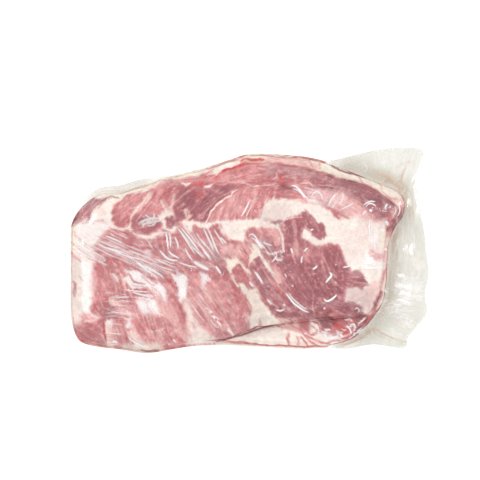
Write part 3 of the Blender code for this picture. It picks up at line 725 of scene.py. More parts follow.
# Lines: colour, width, strength, points.
LINES = [
    ("lean", 2.4, 0.85, [(129, 275), (132, 280), (137, 283), (144, 285)]),
    ("pink", 1.8, 0.8, [(141, 276), (146, 281), (149, 284), (153, 286)]),
    ("purple", 0.9, 0.5, [(132, 285), (137, 287), (142, 287)]),
    ("pink", 1.4, 0.7, [(150, 287), (156, 291), (161, 297)]),
    # The next two: painted glare lines from the film over the ribs.
    ("white", 1.4, 0.8, [(131, 293), (142, 295), (153, 297)]),
    ("white", 1.2, 0.7, [(133, 298), (144, 299), (152, 301)]),
    ("red", 1.4, 0.6, [(129, 291), (140, 292), (150, 294)]),
    ("red", 1.2, 0.6, [(133, 296), (143, 297), (152, 299)]),
    # Painted glare from the film.
    ("white", 2.2, 0.9, [(112, 275), (115, 278), (117, 282)]),
    ("purple", 2.0, 0.5, [(72, 282), (75, 286), (73, 292), (73, 297)]),
    ("grey", 2.6, 0.6, [(77, 277), (79, 279), (81, 282)]),
    ("grey", 1.6, 0.4, [(69, 250), (69, 262), (70, 274)]),
    ("deep", 1.8, 0.7, [(102, 325), (103, 332), (104, 337), (106, 344)]),
    ("blood", 2.6, 0.8, [(164, 326), (165, 328)]),
    ("deep", 1.4, 0.7, [(140, 352), (150, 353), (159, 353)]),
    ("white", 1.6, 0.8, [(168, 346), (169, 347)]),
    ("white", 1.4, 0.8, [(172, 341), (174, 344)]),
    ("pink", 3.0, 0.5, [(172, 300), (178, 313), (182, 328)]),
    ("purple", 2.6, 0.4, [(176, 304), (181, 313), (184, 322)]),
    ("deep", 2.6, 0.8, [(70, 225), (72, 221), (75, 218), (78, 212)]),
    ("blood", 1.2, 0.7, [(74, 215), (76, 212), (80, 210)]),
    ("deep", 1.2, 0.5, [(96, 198), (99, 200), (103, 200), (107, 197), (110, 196), (113, 197), (118, 198)]),
    ("salmon", 2.0, 0.9, [
        (149, 192), (145, 197), (142, 202), (138, 206), (135, 210), (133, 214), (130, 219), (131, 224),
    ]),
    ("fat", 1.0, 0.8, [(160, 200), (164, 204), (168, 210)]),
    ("fat", 1.0, 0.6, [(162, 198), (166, 203), (170, 208)]),
    ("fat", 1.0, 0.6, [(151, 202), (156, 206), (160, 203)]),
    ("fat", 1.0, 0.8, [(130, 208), (136, 207), (140, 203)]),
    ("cream", 2.2, 0.8, [(160, 200), (163, 206), (166, 211), (162, 215), (160, 219)]),
    ("blood", 1.5, 0.7, [(163, 179), (170, 179), (176, 179)]),
    ("tan", 1.5, 0.6, [(120, 193), (128, 190), (140, 186), (150, 184), (156, 182)]),
    ("cream", 1.2, 0.9, [(134, 193), (144, 190), (152, 186), (160, 182)]),
    ("blood", 4.0, 0.8, [(193, 184), (199, 183), (204, 181)]),
    ("blood", 1.6, 0.6, [(186, 179), (192, 181), (199, 184), (206, 188)]),
    ("blood", 1.4, 0.6, [(196, 176), (200, 181), (201, 190)]),
    ("pink", 5.0, 0.5, [(172, 180), (184, 178), (198, 176), (212, 171)]),
    ("blood", 5.0, 0.35, [(214, 178), (224, 173), (236, 167), (250, 160), (262, 159)]),
    ("red", 4.0, 0.45, [(232, 172), (244, 168), (258, 165), (268, 167)]),
    ("blood", 1.6, 0.6, [(190, 188), (196, 192), (201, 194), (205, 190)]),
    ("blood", 1.6, 0.5, [(200, 184), (201, 192), (198, 201)]),
    ("fat", 2.5, 0.9, [(182, 182), (187, 184), (191, 182)]),
    ("fat", 2.5, 0.9, [(204, 186), (208, 185), (211, 183)]),
    ("blood", 1.2, 0.7, [(203, 181), (206, 174), (209, 170), (213, 168)]),
    ("blood", 3.0, 0.95, [(213, 178), (220, 173), (225, 170), (232, 168), (238, 165), (243, 163)]),
    ("pink", 1.5, 0.7, [(211, 166), (225, 162), (239, 160)]),
    ("blood", 2.6, 0.85, [(240, 161), (244, 158), (251, 158), (256, 158), (264, 158)]),
    ("blood", 1.2, 0.6, [(244, 162), (256, 162), (266, 162)]),
    ("deep", 0.9, 0.6, [(251, 154), (268, 155), (277, 156), (288, 156), (303, 157), (311, 159)]),
    ("blood", 1.0, 0.5, [(268, 156), (277, 158), (286, 157), (310, 160)]),
    ("blood", 1.0, 0.55, [(266, 160), (277, 162), (285, 163), (294, 165), (303, 166), (310, 166)]),
    ("blood", 1.2, 0.5, [(310, 159), (312, 162), (313, 169)]),
    ("blood", 1.2, 0.5, [(319, 160), (321, 162), (320, 168)]),
    ("deep", 2.0, 0.75, [
        (330, 163), (335, 167), (346, 171), (353, 172), (358, 175), (366, 176), (370, 178),
    ]),
    ("blood", 1.0, 0.45, [(358, 176), (362, 179), (365, 183)]),
    ("blood", 1.0, 0.45, [(375, 180), (379, 182), (384, 189)]),
    ("blood", 1.0, 0.45, [(384, 191), (391, 196), (398, 198)]),
    ("cream", 0.9, 0.9, [
        (231, 182), (238, 181), (246, 182), (251, 185), (259, 184), (268, 184), (277, 183),
    ]),
    ("cream", 0.9, 0.8, [(232, 174), (235, 177), (238, 180)]),
    ("cream", 1.2, 0.8, [(272, 178), (277, 176), (276, 172)]),
    ("red", 1.4, 0.7, [(243, 178), (258, 180), (272, 179), (279, 180)]),
    ("fat", 1.7, 1.0, [
        (237, 188), (232, 192), (230, 195), (226, 197), (222, 200), (219, 202), (216, 205), (212, 209),
        (210, 212), (208, 216), (206, 221),
    ]),
    ("fat", 1.0, 0.9, [(241, 216), (246, 208), (250, 200)]),
    ("fat", 0.9, 0.5, [(246, 217), (250, 209), (254, 202)]),
    ("red", 1.1, 0.8, [(254, 209), (258, 208), (262, 206), (264, 203)]),
    ("blood", 3.4, 0.9, [(280, 176), (282, 180), (284, 182)]),
    ("deep", 1.8, 0.5, [(284, 184), (290, 188), (298, 191)]),
    ("fat", 1.5, 0.7, [(301, 183), (308, 182), (314, 184)]),
    ("fat", 1.2, 0.7, [(311, 196), (316, 192), (321, 193), (324, 198)]),
    ("fat", 1.2, 0.7, [(329, 206), (332, 199), (336, 193)]),
    ("fat", 1.6, 0.6, [(343, 192), (344, 197), (341, 203)]),
    ("fat", 1.5, 0.6, [(341, 209), (348, 206), (354, 203)]),
    ("salmon", 1.2, 0.9, [(281, 224), (287, 220), (294, 218), (303, 217)]),
    ("pale", 0.9, 0.8, [(281, 227), (285, 225), (288, 228)]),
    ("pale", 0.9, 0.8, [(283, 230), (287, 228)]),
    ("fat", 2.4, 0.9, [(280, 230), (282, 235), (283, 240), (284, 247), (282, 253)]),
    ("fat", 2.5, 0.8, [(266, 252), (272, 254), (279, 252)]),
    ("fat", 1.6, 0.9, [(272, 262), (277, 258), (282, 261)]),
    ("fat", 1.0, 0.6, [(293, 253), (295, 260), (297, 264)]),
    ("pale", 1.2, 0.7, [(314, 291), (315, 300), (313, 308), (315, 318)]),
    ("red", 1.5, 0.7, [(388, 246), (390, 256), (388, 266), (385, 274), (383, 281)]),
    ("deep", 1.0, 0.6, [(388, 268), (388, 276), (387, 288)]),
    ("deep", 1.2, 0.6, [
        (387, 290), (385, 299), (382, 307), (376, 314), (372, 319), (369, 326), (362, 333),
    ]),
    ("deep", 1.2, 0.5, [(402, 191), (405, 192), (407, 197), (408, 201), (406, 206), (404, 213)]),
    ("blood", 1.4, 0.6, [(391, 229), (395, 233), (392, 240), (390, 248)]),
    ("tan", 1.4, 0.6, [(398, 228), (396, 240), (394, 252), (392, 266), (391, 280), (388, 300)]),
    ("red", 1.5, 0.5, [(73, 284), (75, 290), (74, 298)]),
    ("pink", 2.6, 0.7, [(80, 252), (85, 256), (91, 260), (95, 262)]),
    ("pink", 3.0, 0.6, [(73, 231), (76, 235), (80, 241)]),
    ("fat", 2.2, 0.6, [(91, 322), (86, 322), (84, 324)]),
    ("blood", 1.5, 0.7, [(102, 327), (103, 332), (105, 338), (106, 344)]),
    ("blood", 1.0, 0.5, [(140, 320), (144, 324), (148, 331), (150, 338), (151, 344)]),
    ("deep", 2.2, 0.6, [(161, 320), (163, 323), (165, 328), (167, 335)]),
    ("blood", 3.0, 0.6, [(176, 338), (181, 342), (186, 344)]),
    ("deep", 1.0, 0.5, [(138, 351), (148, 352), (158, 352)]),
    ("grey", 1.6, 0.5, [(187, 334), (190, 338), (192, 343)]),
    ("deep", 1.0, 0.5, [(245, 294), (247, 300), (250, 306), (252, 311)]),
    ("grey", 0.9, 0.5, [(220, 277), (225, 283), (229, 293), (232, 299)]),
    ("fat", 3.0, 0.9, [(228, 330), (230, 334), (233, 337)]),
    ("fat", 2.2, 0.9, [(243, 318), (244, 318)]),
    ("pale", 2.5, 0.6, [(212, 290), (220, 302), (226, 318)]),
    ("pale", 2.0, 0.6, [(196, 300), (206, 312), (216, 322), (226, 332)]),
    # Painted shade in the crevice where the upper rack meets the lower.
    ("deep", 1.4, 0.9, [
        (216, 344), (224, 342), (229, 339), (238, 336), (249, 332), (256, 329), (264, 328), (272, 327),
        (281, 327),
    ]),
    ("red", 1.2, 0.6, [(281, 326), (290, 324), (300, 322)]),
    # The next two: painted shade further along the crevice between the racks and round the dark round lobe.
    ("deep", 1.6, 0.45, [(296, 322), (304, 321), (312, 321), (318, 320), (326, 318)]),
    ("deep", 2.2, 0.8, [(318, 320), (325, 318), (331, 319), (334, 322), (333, 327)]),
    ("red", 2.2, 0.9, [(334, 318), (342, 319), (350, 318), (360, 319)]),
    ("purple", 2.0, 0.7, [(354, 314), (360, 318), (366, 317)]),
    ("deep", 1.2, 0.6, [(284, 316), (288, 320), (294, 323), (290, 326)]),
    ("blood", 1.6, 0.9, [(313, 323), (318, 324), (320, 329), (317, 334), (312, 336), (309, 333)]),
    ("white", 1.6, 0.9, [(311, 324), (316, 326), (316, 331), (313, 333)]),
    ("blood", 1.4, 0.8, [(336, 326), (341, 331), (340, 337), (346, 341)]),
    ("blood", 1.4, 0.8, [(345, 322), (349, 327), (347, 333), (352, 337)]),
    ("white", 2.6, 0.9, [(337, 333), (341, 336)]),
    ("white", 2.2, 0.9, [(330, 340), (336, 339)]),
    ("cream", 2.6, 0.8, [(342, 338), (348, 336)]),
    # Painted glint.
    ("white", 2.4, 0.9, [(350, 320), (352, 322)]),
    ("deep", 1.4, 0.8, [(353, 335), (358, 331), (364, 327), (369, 320)]),
    ("blood", 1.6, 0.8, [(224, 341), (235, 343), (248, 344), (259, 346), (268, 348)]),
    ("blood", 1.6, 0.8, [(262, 347), (285, 348), (303, 349), (316, 348), (330, 349)]),
    ("blood", 2.4, 0.8, [(289, 335), (288, 340), (290, 347)]),
    ("blood", 1.6, 0.8, [(297, 338), (299, 343), (298, 347)]),
    ("blood", 2.0, 0.9, [(302, 339), (306, 343), (309, 348)]),
    ("pink", 4.0, 0.6, [(283, 329), (294, 331), (306, 336), (316, 343)]),
    ("blood", 1.4, 0.7, [(290, 327), (300, 331), (309, 338), (322, 344), (330, 346)]),
    ("blood", 1.8, 0.7, [(308, 340), (313, 345), (320, 348)]),
    ("red", 1.2, 0.7, [(310, 326), (314, 328), (317, 332), (315, 336), (313, 333)]),
    ("red", 1.6, 0.6, [(300, 331), (304, 336), (309, 341)]),
    ("blood", 1.6, 0.6, [(318, 340), (326, 345), (334, 343), (346, 342), (356, 338)]),
    ("deep", 1.4, 0.6, [(330, 349), (340, 345), (352, 342), (362, 335)]),
    # The next four: painted glints.
    ("white", 3.2, 0.9, [(326, 334), (326, 338)]),
    ("white", 1.4, 0.9, [(352, 324), (356, 329), (353, 333)]),
    ("white", 1.2, 0.8, [(347, 328), (351, 331), (350, 337)]),
    ("white", 1.2, 0.8, [(359, 331), (364, 329)]),
    ("deep", 3.4, 0.7, [(325, 317), (329, 315), (332, 313)]),
    # Painted shadow above the dark round lobe.
    ("deep", 1.6, 0.8, [(324, 320), (329, 318), (334, 320), (336, 323)]),
    ("blood", 3.0, 0.8, [(336, 322), (338, 325), (341, 327)]),
    ("blood", 2.6, 0.8, [(343, 329), (346, 332), (347, 336)]),
    ("cream", 2.6, 0.8, [(336, 338), (341, 340), (344, 336)]),
    ("salmon", 2.0, 0.7, [(352, 301), (360, 297), (368, 292)]),
    ("pink", 2.2, 0.9, [(70, 243), (78, 250), (88, 257), (96, 262)]),
    ("pink", 2.0, 0.8, [(74, 236), (84, 244), (96, 250), (106, 254)]),
    ("pink", 2.0, 0.8, [(68, 252), (74, 258), (80, 262)]),
    ("pink", 1.6, 0.7, [(80, 224), (90, 222), (100, 223)]),
    ("fat", 1.8, 0.7, [(276, 310), (280, 311), (284, 310)]),
    ("salmon", 1.6, 0.7, [(268, 300), (273, 305), (279, 308)]),
    ("pink", 1.2, 0.6, [(282, 322), (288, 325), (296, 329)]),
    ("grey", 1.4, 0.7, [(283, 320), (287, 323), (293, 326)]),
]

# Families of fine streaks in the flesh: colour, width, strength, count, first line, last line.
FLESH_FANS = [
    ("salmon", 1.3, 0.45, 12, [(174, 292), (188, 312), (200, 334)], [(212, 284), (230, 308), (244, 330)]),
    ("pale", 1.6, 0.5, 10, [(130, 296), (138, 318), (146, 342)], [(168, 296), (178, 318), (190, 342)]),
    ("salmon", 1.2, 0.5, 9, [(104, 268), (107, 284), (108, 300)], [(128, 274), (132, 290), (136, 304)]),
    ("pale", 1.2, 0.35, 12, [(100, 240), (130, 250), (160, 262)], [(98, 254), (118, 262), (140, 278)]),
    ("lean", 1.4, 0.5, 16, [(266, 270), (284, 298), (304, 316)], [(330, 250), (342, 276), (348, 298)]),
    ("pink", 1.0, 0.3, 14, [(268, 262), (286, 292), (306, 312)], [(326, 250), (336, 276), (342, 298)]),
    ("purple", 1.6, 0.4, 10, [(272, 270), (290, 298), (308, 316)], [(324, 252), (338, 278), (346, 300)]),
    ("salmon", 1.0, 0.4, 10, [(214, 214), (222, 205), (232, 196)], [(252, 216), (258, 206), (262, 196)]),
    ("salmon", 1.1, 0.35, 8, [(112, 212), (122, 204), (134, 196)], [(140, 214), (150, 204), (160, 194)]),
    ("purple", 1.2, 0.4, 10, [(178, 214), (188, 200), (200, 188)], [(206, 214), (216, 198), (232, 186)]),
    ("pale", 1.0, 0.3, 10, [(178, 210), (188, 198), (200, 188)], [(204, 214), (214, 198), (230, 187)]),
    ("salmon", 1.0, 0.35, 9, [(316, 180), (340, 182), (366, 190)], [(322, 188), (344, 192), (368, 204)]),
    ("purple", 1.4, 0.45, 7, [(318, 176), (344, 180), (372, 192)], [(326, 188), (350, 194), (376, 210)]),
    ("salmon", 1.2, 0.5, 10, [(222, 244), (232, 256), (240, 268)], [(246, 238), (256, 250), (264, 262)]),
    ("pink", 1.2, 0.5, 9, [(282, 204), (306, 202), (330, 208)], [(286, 196), (310, 190), (344, 196)]),
    ("pale", 1.2, 0.4, 9, [(210, 180), (232, 174), (256, 168)], [(214, 186), (240, 182), (268, 176)]),
    ("red", 1.2, 0.4, 8, [(212, 182), (234, 176), (258, 166)], [(218, 184), (242, 180), (266, 174)]),
    ("salmon", 1.0, 0.5, 8, [(112, 322), (114, 334), (116, 346)], [(124, 324), (128, 336), (132, 348)]),
    ("fat", 1.3, 0.65, 6, [(104, 298), (116, 299), (130, 301)], [(108, 318), (120, 320), (134, 322)]),
    ("red", 1.3, 0.55, 6, [(102, 294), (116, 296), (132, 298)], [(104, 320), (118, 321), (132, 322)]),
    ("pink", 1.0, 0.6, 6, [(103, 334), (110, 334), (118, 335)], [(105, 348), (112, 348), (120, 349)]),
]

# Which way the muscle fibres run, in degrees up from the right: place and direction.
GRAIN = [
    (120, 205, 50), (150, 205, 58), (190, 200, 40), (225, 190, 32), (235, 205, 75), (255, 205, 80),
    (260, 172, 5), (300, 175, -6), (340, 188, -22), (380, 205, -40), (85, 210, 60), (110, 240, -25),
    (160, 245, -8), (200, 240, -58), (230, 250, -50), (110, 280, -70), (90, 335, -30), (115, 335, -80),
    (140, 332, -62), (175, 315, -58), (210, 310, -52), (235, 315, -60), (262, 275, -58), (280, 305, -48),
    (265, 240, -50), (293, 238, -85), (320, 230, -60), (310, 275, -62), (330, 300, -20), (335, 262, -68),
    (355, 282, -10), (355, 312, -30), (250, 325, -70), (340, 330, -35), (380, 258, -20), (379, 300, -75),
]


# Creases in the film, raised in its mesh, with a painted highlight of white haze along each: width, strength,
# points.
CREASES = [
    (2.6, 0.6, [(137, 223), (144, 220), (152, 218), (161, 219)]),
    (2.2, 0.55, [(141, 225), (149, 222), (156, 221), (162, 220)]),
    (1.6, 0.6, [(144, 214), (147, 216), (150, 218)]),
    (1.4, 0.5, [(146, 226), (152, 225), (156, 222)]),
    (1.7, 1.0, [(285, 292), (290, 299), (294, 304), (299, 308), (305, 312), (311, 314)]),
    (1.0, 0.8, [(288, 292), (292, 298), (298, 304), (303, 308), (309, 311)]),
    (1.8, 1.0, [(290, 185), (295, 185), (300, 189), (304, 194), (310, 200)]),
    (1.0, 0.9, [(292, 188), (297, 189), (302, 193), (306, 199)]),
    (2.0, 1.0, [(324, 299), (327, 302), (331, 301), (335, 298), (338, 295)]),
    (2.2, 1.0, [(330, 272), (332, 276), (329, 280), (326, 284)]),
    (2.0, 0.9, [(313, 270), (316, 268), (318, 266)]),
    (1.6, 0.8, [(324, 309), (326, 310)]),
    (1.1, 0.9, [(343, 268), (348, 267), (352, 266)]),
    (1.7, 0.9, [(291, 248), (292, 250), (293, 254)]),
    (1.5, 0.8, [(302, 264), (302, 260), (303, 256)]),
    (1.5, 0.8, [(304, 252), (307, 249), (309, 248)]),
    (1.2, 0.7, [(280, 250), (282, 253)]),
    (1.2, 0.7, [(284, 249), (285, 253)]),
    (1.4, 0.8, [(274, 258), (278, 260), (282, 261)]),
    (1.1, 0.7, [(274, 251), (277, 256), (272, 262)]),
    (1.1, 0.7, [(285, 274), (287, 278)]),
    (1.3, 0.7, [(292, 287), (294, 286)]),
    (1.2, 0.6, [(336, 264), (337, 266)]),
    (1.2, 0.6, [(336, 282), (337, 284)]),
    (1.4, 0.9, [(254, 271), (258, 277), (262, 283), (264, 286)]),
    (0.8, 0.7, [(256, 272), (260, 278), (263, 283)]),
    (2.2, 0.8, [(249, 282), (254, 288)]),
    (1.9, 1.0, [(215, 266), (218, 270), (221, 275)]),
    (4.2, 0.85, [(192, 261), (200, 266), (210, 271)]),
    (1.0, 0.7, [(198, 294), (201, 298), (204, 302)]),
    (1.0, 0.6, [(205, 308), (212, 314)]),
    (1.2, 0.7, [(212, 316), (217, 319), (220, 322)]),
    (1.1, 0.6, [(209, 320), (214, 326), (219, 330)]),
    (1.2, 0.8, [(267, 300), (272, 306)]),
    (1.4, 0.9, [(327, 336), (326, 338)]),
    (1.4, 0.9, [(398, 279), (401, 277), (404, 275)]),
    (1.2, 0.9, [(402, 283), (405, 280), (409, 279)]),
    (1.0, 0.8, [(396, 290), (400, 287), (405, 288)]),
    (1.2, 0.9, [(407, 291), (411, 287)]),
    (1.0, 0.8, [(412, 270), (414, 276), (413, 283)]),
    (1.0, 0.7, [(418, 262), (420, 270), (419, 280)]),
    (1.1, 0.8, [(388, 316), (394, 313), (400, 312)]),
    (1.1, 0.8, [(398, 320), (402, 317)]),
    (1.0, 0.7, [(404, 325), (410, 324), (416, 319)]),
    (1.0, 0.7, [(355, 311), (358, 309), (360, 312), (358, 314)]),
    (1.2, 0.8, [(349, 321), (351, 319)]),
    (1.0, 0.7, [(350, 327), (355, 326), (356, 331)]),
    (1.0, 0.7, [(352, 335), (360, 334), (366, 333)]),
    (1.3, 0.8, [(211, 318), (213, 318), (215, 320)]),
    (1.0, 0.8, [(209, 311), (212, 314)]),
    (1.0, 0.7, [(216, 321), (219, 325), (222, 329)]),
    (1.3, 0.8, [(227, 331), (231, 334)]),
    (1.4, 0.8, [(283, 305), (286, 307)]),
    (1.4, 0.7, [(276, 311), (281, 312), (285, 310)]),
    (1.3, 0.9, [(248, 237), (251, 234), (255, 236), (258, 241), (263, 247), (266, 250)]),
    (1.0, 0.8, [(250, 238), (254, 239), (258, 244), (262, 250)]),
    (1.1, 0.8, [(262, 242), (267, 244), (273, 246)]),
    (1.2, 0.9, [(241, 217), (246, 208), (250, 200)]),
    (0.8, 0.6, [(246, 217), (249, 210), (252, 206)]),
    (1.4, 0.9, [(364, 205), (370, 201), (377, 201)]),
    (1.0, 0.9, [(366, 207), (370, 203), (375, 204), (377, 207)]),
    (2.0, 0.9, [(386, 209), (387, 205), (389, 203)]),
    (1.1, 0.7, [(390, 208), (392, 205)]),
    (3.0, 0.9, [(370, 209), (373, 211)]),
    (1.6, 0.8, [(363, 215), (367, 210)]),
    (2.6, 0.8, [(385, 222), (388, 222), (389, 226)]),
    (1.0, 0.9, [(371, 216), (370, 227), (371, 238)]),
    (0.8, 0.6, [(373, 217), (372, 227), (373, 238)]),
    (1.0, 0.8, [(394, 201), (399, 204), (401, 210), (398, 217)]),
    (1.0, 0.7, [(395, 205), (397, 210), (394, 216)]),
    (2.6, 0.7, [(374, 231), (376, 231)]),
    (2.4, 0.8, [(380, 230), (385, 229)]),
    (1.6, 0.6, [(375, 239), (376, 251)]),
    (2.4, 0.8, [(384, 250), (388, 249)]),
    (2.0, 0.5, [(369, 261), (378, 262)]),
    (1.0, 0.7, [(358, 264), (371, 264), (383, 259)]),
    (1.2, 0.8, [(358, 267), (370, 269), (382, 266), (389, 262)]),
    (1.4, 0.9, [(311, 230), (314, 229)]),
    (1.2, 0.8, [(311, 197), (316, 191), (321, 193), (324, 200)]),
    (1.3, 0.8, [(328, 206), (332, 199), (337, 192)]),
    (1.8, 0.6, [(343, 192), (344, 197), (341, 203)]),
    (1.3, 0.6, [(331, 208), (336, 203), (339, 197)]),
    (1.4, 0.6, [(341, 209), (348, 206), (354, 203)]),
    (1.4, 1.0, [(164, 231), (166, 235), (167, 243), (168, 251)]),
    (1.2, 0.9, [(168, 232), (170, 238), (170, 248)]),
    (1.3, 0.9, [(176, 226), (183, 236), (190, 247), (196, 256)]),
    (1.3, 0.9, [(179, 226), (186, 234), (193, 243), (200, 253)]),
    (1.0, 0.7, [(184, 228), (191, 236), (197, 245)]),
    (1.6, 0.8, [(174, 236), (177, 243), (178, 250)]),
    (1.3, 0.9, [(203, 227), (207, 236), (211, 245), (214, 253)]),
    (1.2, 0.9, [(207, 227), (211, 236), (215, 246), (220, 257)]),
    (1.2, 0.8, [(213, 228), (218, 236), (224, 246)]),
    (1.6, 0.8, [(220, 237), (227, 244)]),
    (1.4, 0.8, [(190, 245), (196, 251), (204, 259)]),
    (1.3, 0.8, [(201, 247), (207, 256), (212, 261)]),
    (1.6, 0.8, [(184, 247), (188, 255), (193, 262)]),
    (1.2, 0.9, [(95, 242), (103, 247), (112, 250), (124, 254)]),
    (1.2, 0.9, [(103, 235), (113, 239), (123, 244)]),
    (1.0, 0.8, [(99, 240), (110, 246), (122, 249)]),
    (1.1, 0.8, [(112, 252), (125, 256), (140, 260), (156, 266)]),
    (1.0, 0.7, [(124, 250), (139, 255), (153, 259)]),
    (1.2, 0.9, [(136, 264), (144, 269), (152, 275), (159, 280)]),
    (1.0, 0.9, [(133, 262), (146, 268), (156, 273), (166, 281)]),
    (1.0, 0.8, [(141, 264), (152, 270), (164, 278)]),
    (2.0, 0.9, [(158, 249), (164, 256), (170, 260), (179, 261)]),
    (1.7, 0.9, [(167, 250), (172, 255), (180, 259)]),
    (1.2, 0.8, [(176, 262), (188, 266), (198, 268)]),
    (1.0, 0.7, [(150, 262), (162, 268), (174, 271)]),
    (1.3, 0.8, [(75, 240), (82, 247), (91, 253)]),
    (1.2, 0.8, [(74, 248), (83, 255), (95, 261)]),
    (1.2, 0.8, [(122, 290), (135, 292), (151, 293)]),
    (1.3, 0.8, [(131, 293), (142, 296), (153, 299)]),
    (0.9, 0.7, [(108, 298), (120, 298), (131, 298)]),
    (0.9, 0.6, [(118, 301), (131, 303)]),
    (0.9, 0.6, [(109, 312), (121, 315)]),
    (0.9, 0.5, [(107, 325), (121, 326)]),
    (0.9, 0.5, [(107, 335), (122, 336)]),
    (1.5, 0.9, [(111, 342), (117, 344)]),
    (0.8, 0.6, [(110, 346), (118, 346)]),
    (1.3, 0.6, [(106, 322), (111, 325), (109, 331)]),
    (1.4, 0.8, [(126, 337), (134, 344), (146, 349)]),
    (1.4, 0.7, [(150, 306), (156, 313), (164, 318)]),
    (1.5, 0.9, [(345, 321), (351, 320)]),
    (1.5, 0.9, [(358, 326), (363, 322), (367, 318)]),
    (1.3, 0.9, [(350, 330), (354, 325), (357, 330)]),
    (1.2, 0.9, [(347, 326), (351, 331), (352, 336)]),
    (1.2, 0.8, [(358, 333), (364, 331), (369, 326)]),
    (1.6, 0.9, [(322, 334), (329, 331), (332, 330)]),
    (2.4, 0.9, [(325, 335), (327, 338)]),
    (1.6, 0.8, [(325, 343), (328, 342)]),
    (2.0, 0.8, [(341, 336), (344, 339)]),
    (1.2, 0.8, [(311, 324), (317, 327), (319, 333), (315, 337)]),
    (1.4, 0.8, [(304, 335), (309, 334)]),
    (1.2, 0.8, [(389, 288), (386, 292), (390, 293)]),
    (1.4, 0.8, [(378, 314), (384, 311), (390, 306)]),
    (1.6, 0.8, [(384, 308), (392, 304), (398, 308), (398, 313)]),
    (1.2, 0.8, [(390, 313), (396, 307), (406, 305), (413, 307)]),
    (1.4, 0.8, [(391, 304), (399, 302), (409, 304)]),
    (1.2, 0.7, [(396, 296), (398, 291), (404, 288)]),
    (1.3, 0.7, [(401, 279), (407, 277)]),
    (1.3, 0.7, [(417, 281), (420, 274)]),
    (1.5, 0.7, [(405, 321), (408, 325), (413, 328)]),
    (1.3, 0.6, [(398, 310), (408, 312), (418, 311)]),
    (1.2, 0.7, [(396, 234), (399, 240), (397, 250)]),
    (1.2, 0.7, [(402, 222), (404, 232), (402, 246)]),
    (1.4, 0.6, [(410, 190), (412, 204), (414, 220)]),
    (1.2, 0.6, [(414, 226), (415, 240), (417, 256)]),
    (1.4, 0.6, [(362, 160), (366, 163), (369, 169)]),
    (1.4, 0.6, [(384, 152), (385, 160), (386, 168)]),
    (1.2, 0.5, [(401, 170), (405, 158), (412, 150)]),
    (1.4, 0.6, [(150, 175), (160, 173), (172, 174)]),
    (1.3, 0.6, [(152, 179), (166, 176), (184, 174)]),
    (1.2, 0.6, [(96, 190), (106, 188), (118, 189)]),
]

# Families of fine raised creases with painted highlights: width, strength, count, first line, last line.
FILM_FANS = [
    (0.6, 0.7, 10, [(100, 234), (116, 241), (134, 249)], [(74, 244), (90, 254), (106, 263)]),
    (0.6, 0.65, 14, [(112, 238), (140, 250), (168, 261)], [(96, 250), (126, 262), (152, 280)]),
    (0.6, 0.65, 13, [(140, 249), (165, 261), (196, 270)], [(126, 262), (150, 274), (168, 287)]),
    (0.7, 0.75, 8, [(176, 226), (190, 244), (206, 262)], [(204, 227), (214, 244), (228, 262)]),
    (0.7, 0.45, 4, [(100, 288), (116, 290), (134, 293)], [(104, 317), (118, 316), (132, 319)]),
    (0.7, 0.45, 3, [(104, 322), (113, 323), (122, 325)], [(106, 347), (114, 347), (124, 348)]),
    (0.9, 0.5, 6, [(71, 232), (80, 240), (90, 248)], [(70, 250), (80, 257), (94, 263)]),
    (0.8, 0.6, 6, [(196, 290), (208, 304), (220, 318)], [(182, 300), (194, 318), (206, 334)]),
    (0.8, 0.7, 5, [(244, 240), (254, 256), (264, 272)], [(262, 236), (272, 250), (282, 266)]),
    (0.8, 0.4, 9, [(296, 184), (318, 190), (346, 196)], [(306, 202), (326, 206), (356, 214)]),
    (0.8, 0.6, 7, [(322, 340), (336, 334), (350, 324)], [(340, 346), (354, 338), (368, 324)]),
    (0.9, 0.4, 10, [(396, 206), (398, 240), (392, 280)], [(410, 200), (412, 240), (406, 290)]),
    (0.9, 0.45, 9, [(384, 300), (398, 300), (414, 306)], [(376, 322), (392, 318), (410, 322)]),
    (0.8, 0.35, 8, [(380, 166), (396, 156), (410, 146)], [(402, 200), (408, 176), (420, 152)]),
]

# Painted glare where the film stands off the meat, drawn as milky haze: softness, strength, outline.
MILKY_GLARE = [
    (6, 0.62, [
        (78, 224), (84, 221), (93, 219), (107, 222), (109, 225), (103, 231), (97, 239), (90, 246),
        (80, 246), (76, 236),
    ]),
    (4, 0.55, [(75, 246), (88, 249), (97, 254), (105, 259), (103, 263), (94, 261), (84, 256), (76, 252)]),
    (3, 0.6, [
        (171, 277), (175, 276), (185, 275), (187, 283), (185, 294), (181, 300), (178, 295), (175, 282),
    ]),
    (3, 0.55, [(200, 274), (207, 275), (208, 282), (204, 286), (201, 282)]),
    (3, 0.45, [(112, 274), (116, 275), (119, 281), (117, 284), (113, 279)]),
    (6, 0.3, [(306, 188), (330, 188), (346, 194), (344, 206), (326, 206), (312, 198)]),
    (5, 0.7, [(383, 306), (398, 302), (414, 305), (402, 311), (388, 315)]),
    (7, 0.7, [(398, 284), (410, 278), (424, 286), (420, 300), (404, 302)]),
    (5, 0.6, [(404, 318), (414, 326), (410, 332), (402, 326)]),
    (2, 0.6, [(137, 224), (145, 219), (155, 216), (160, 218), (154, 221), (146, 224)]),
    (2, 0.6, [(322, 333), (327, 332), (329, 336), (325, 339), (321, 337)]),
    (8, 0.4, [(392, 146), (424, 146), (420, 170), (404, 176), (390, 160)]),
    (7, 0.5, [(376, 150), (392, 147), (402, 150), (396, 160), (380, 164)]),
    (5, 0.5, [(412, 250), (420, 254), (424, 268), (416, 270)]),
    (5, 0.5, [(394, 330), (404, 334), (400, 342), (390, 338)]),
]

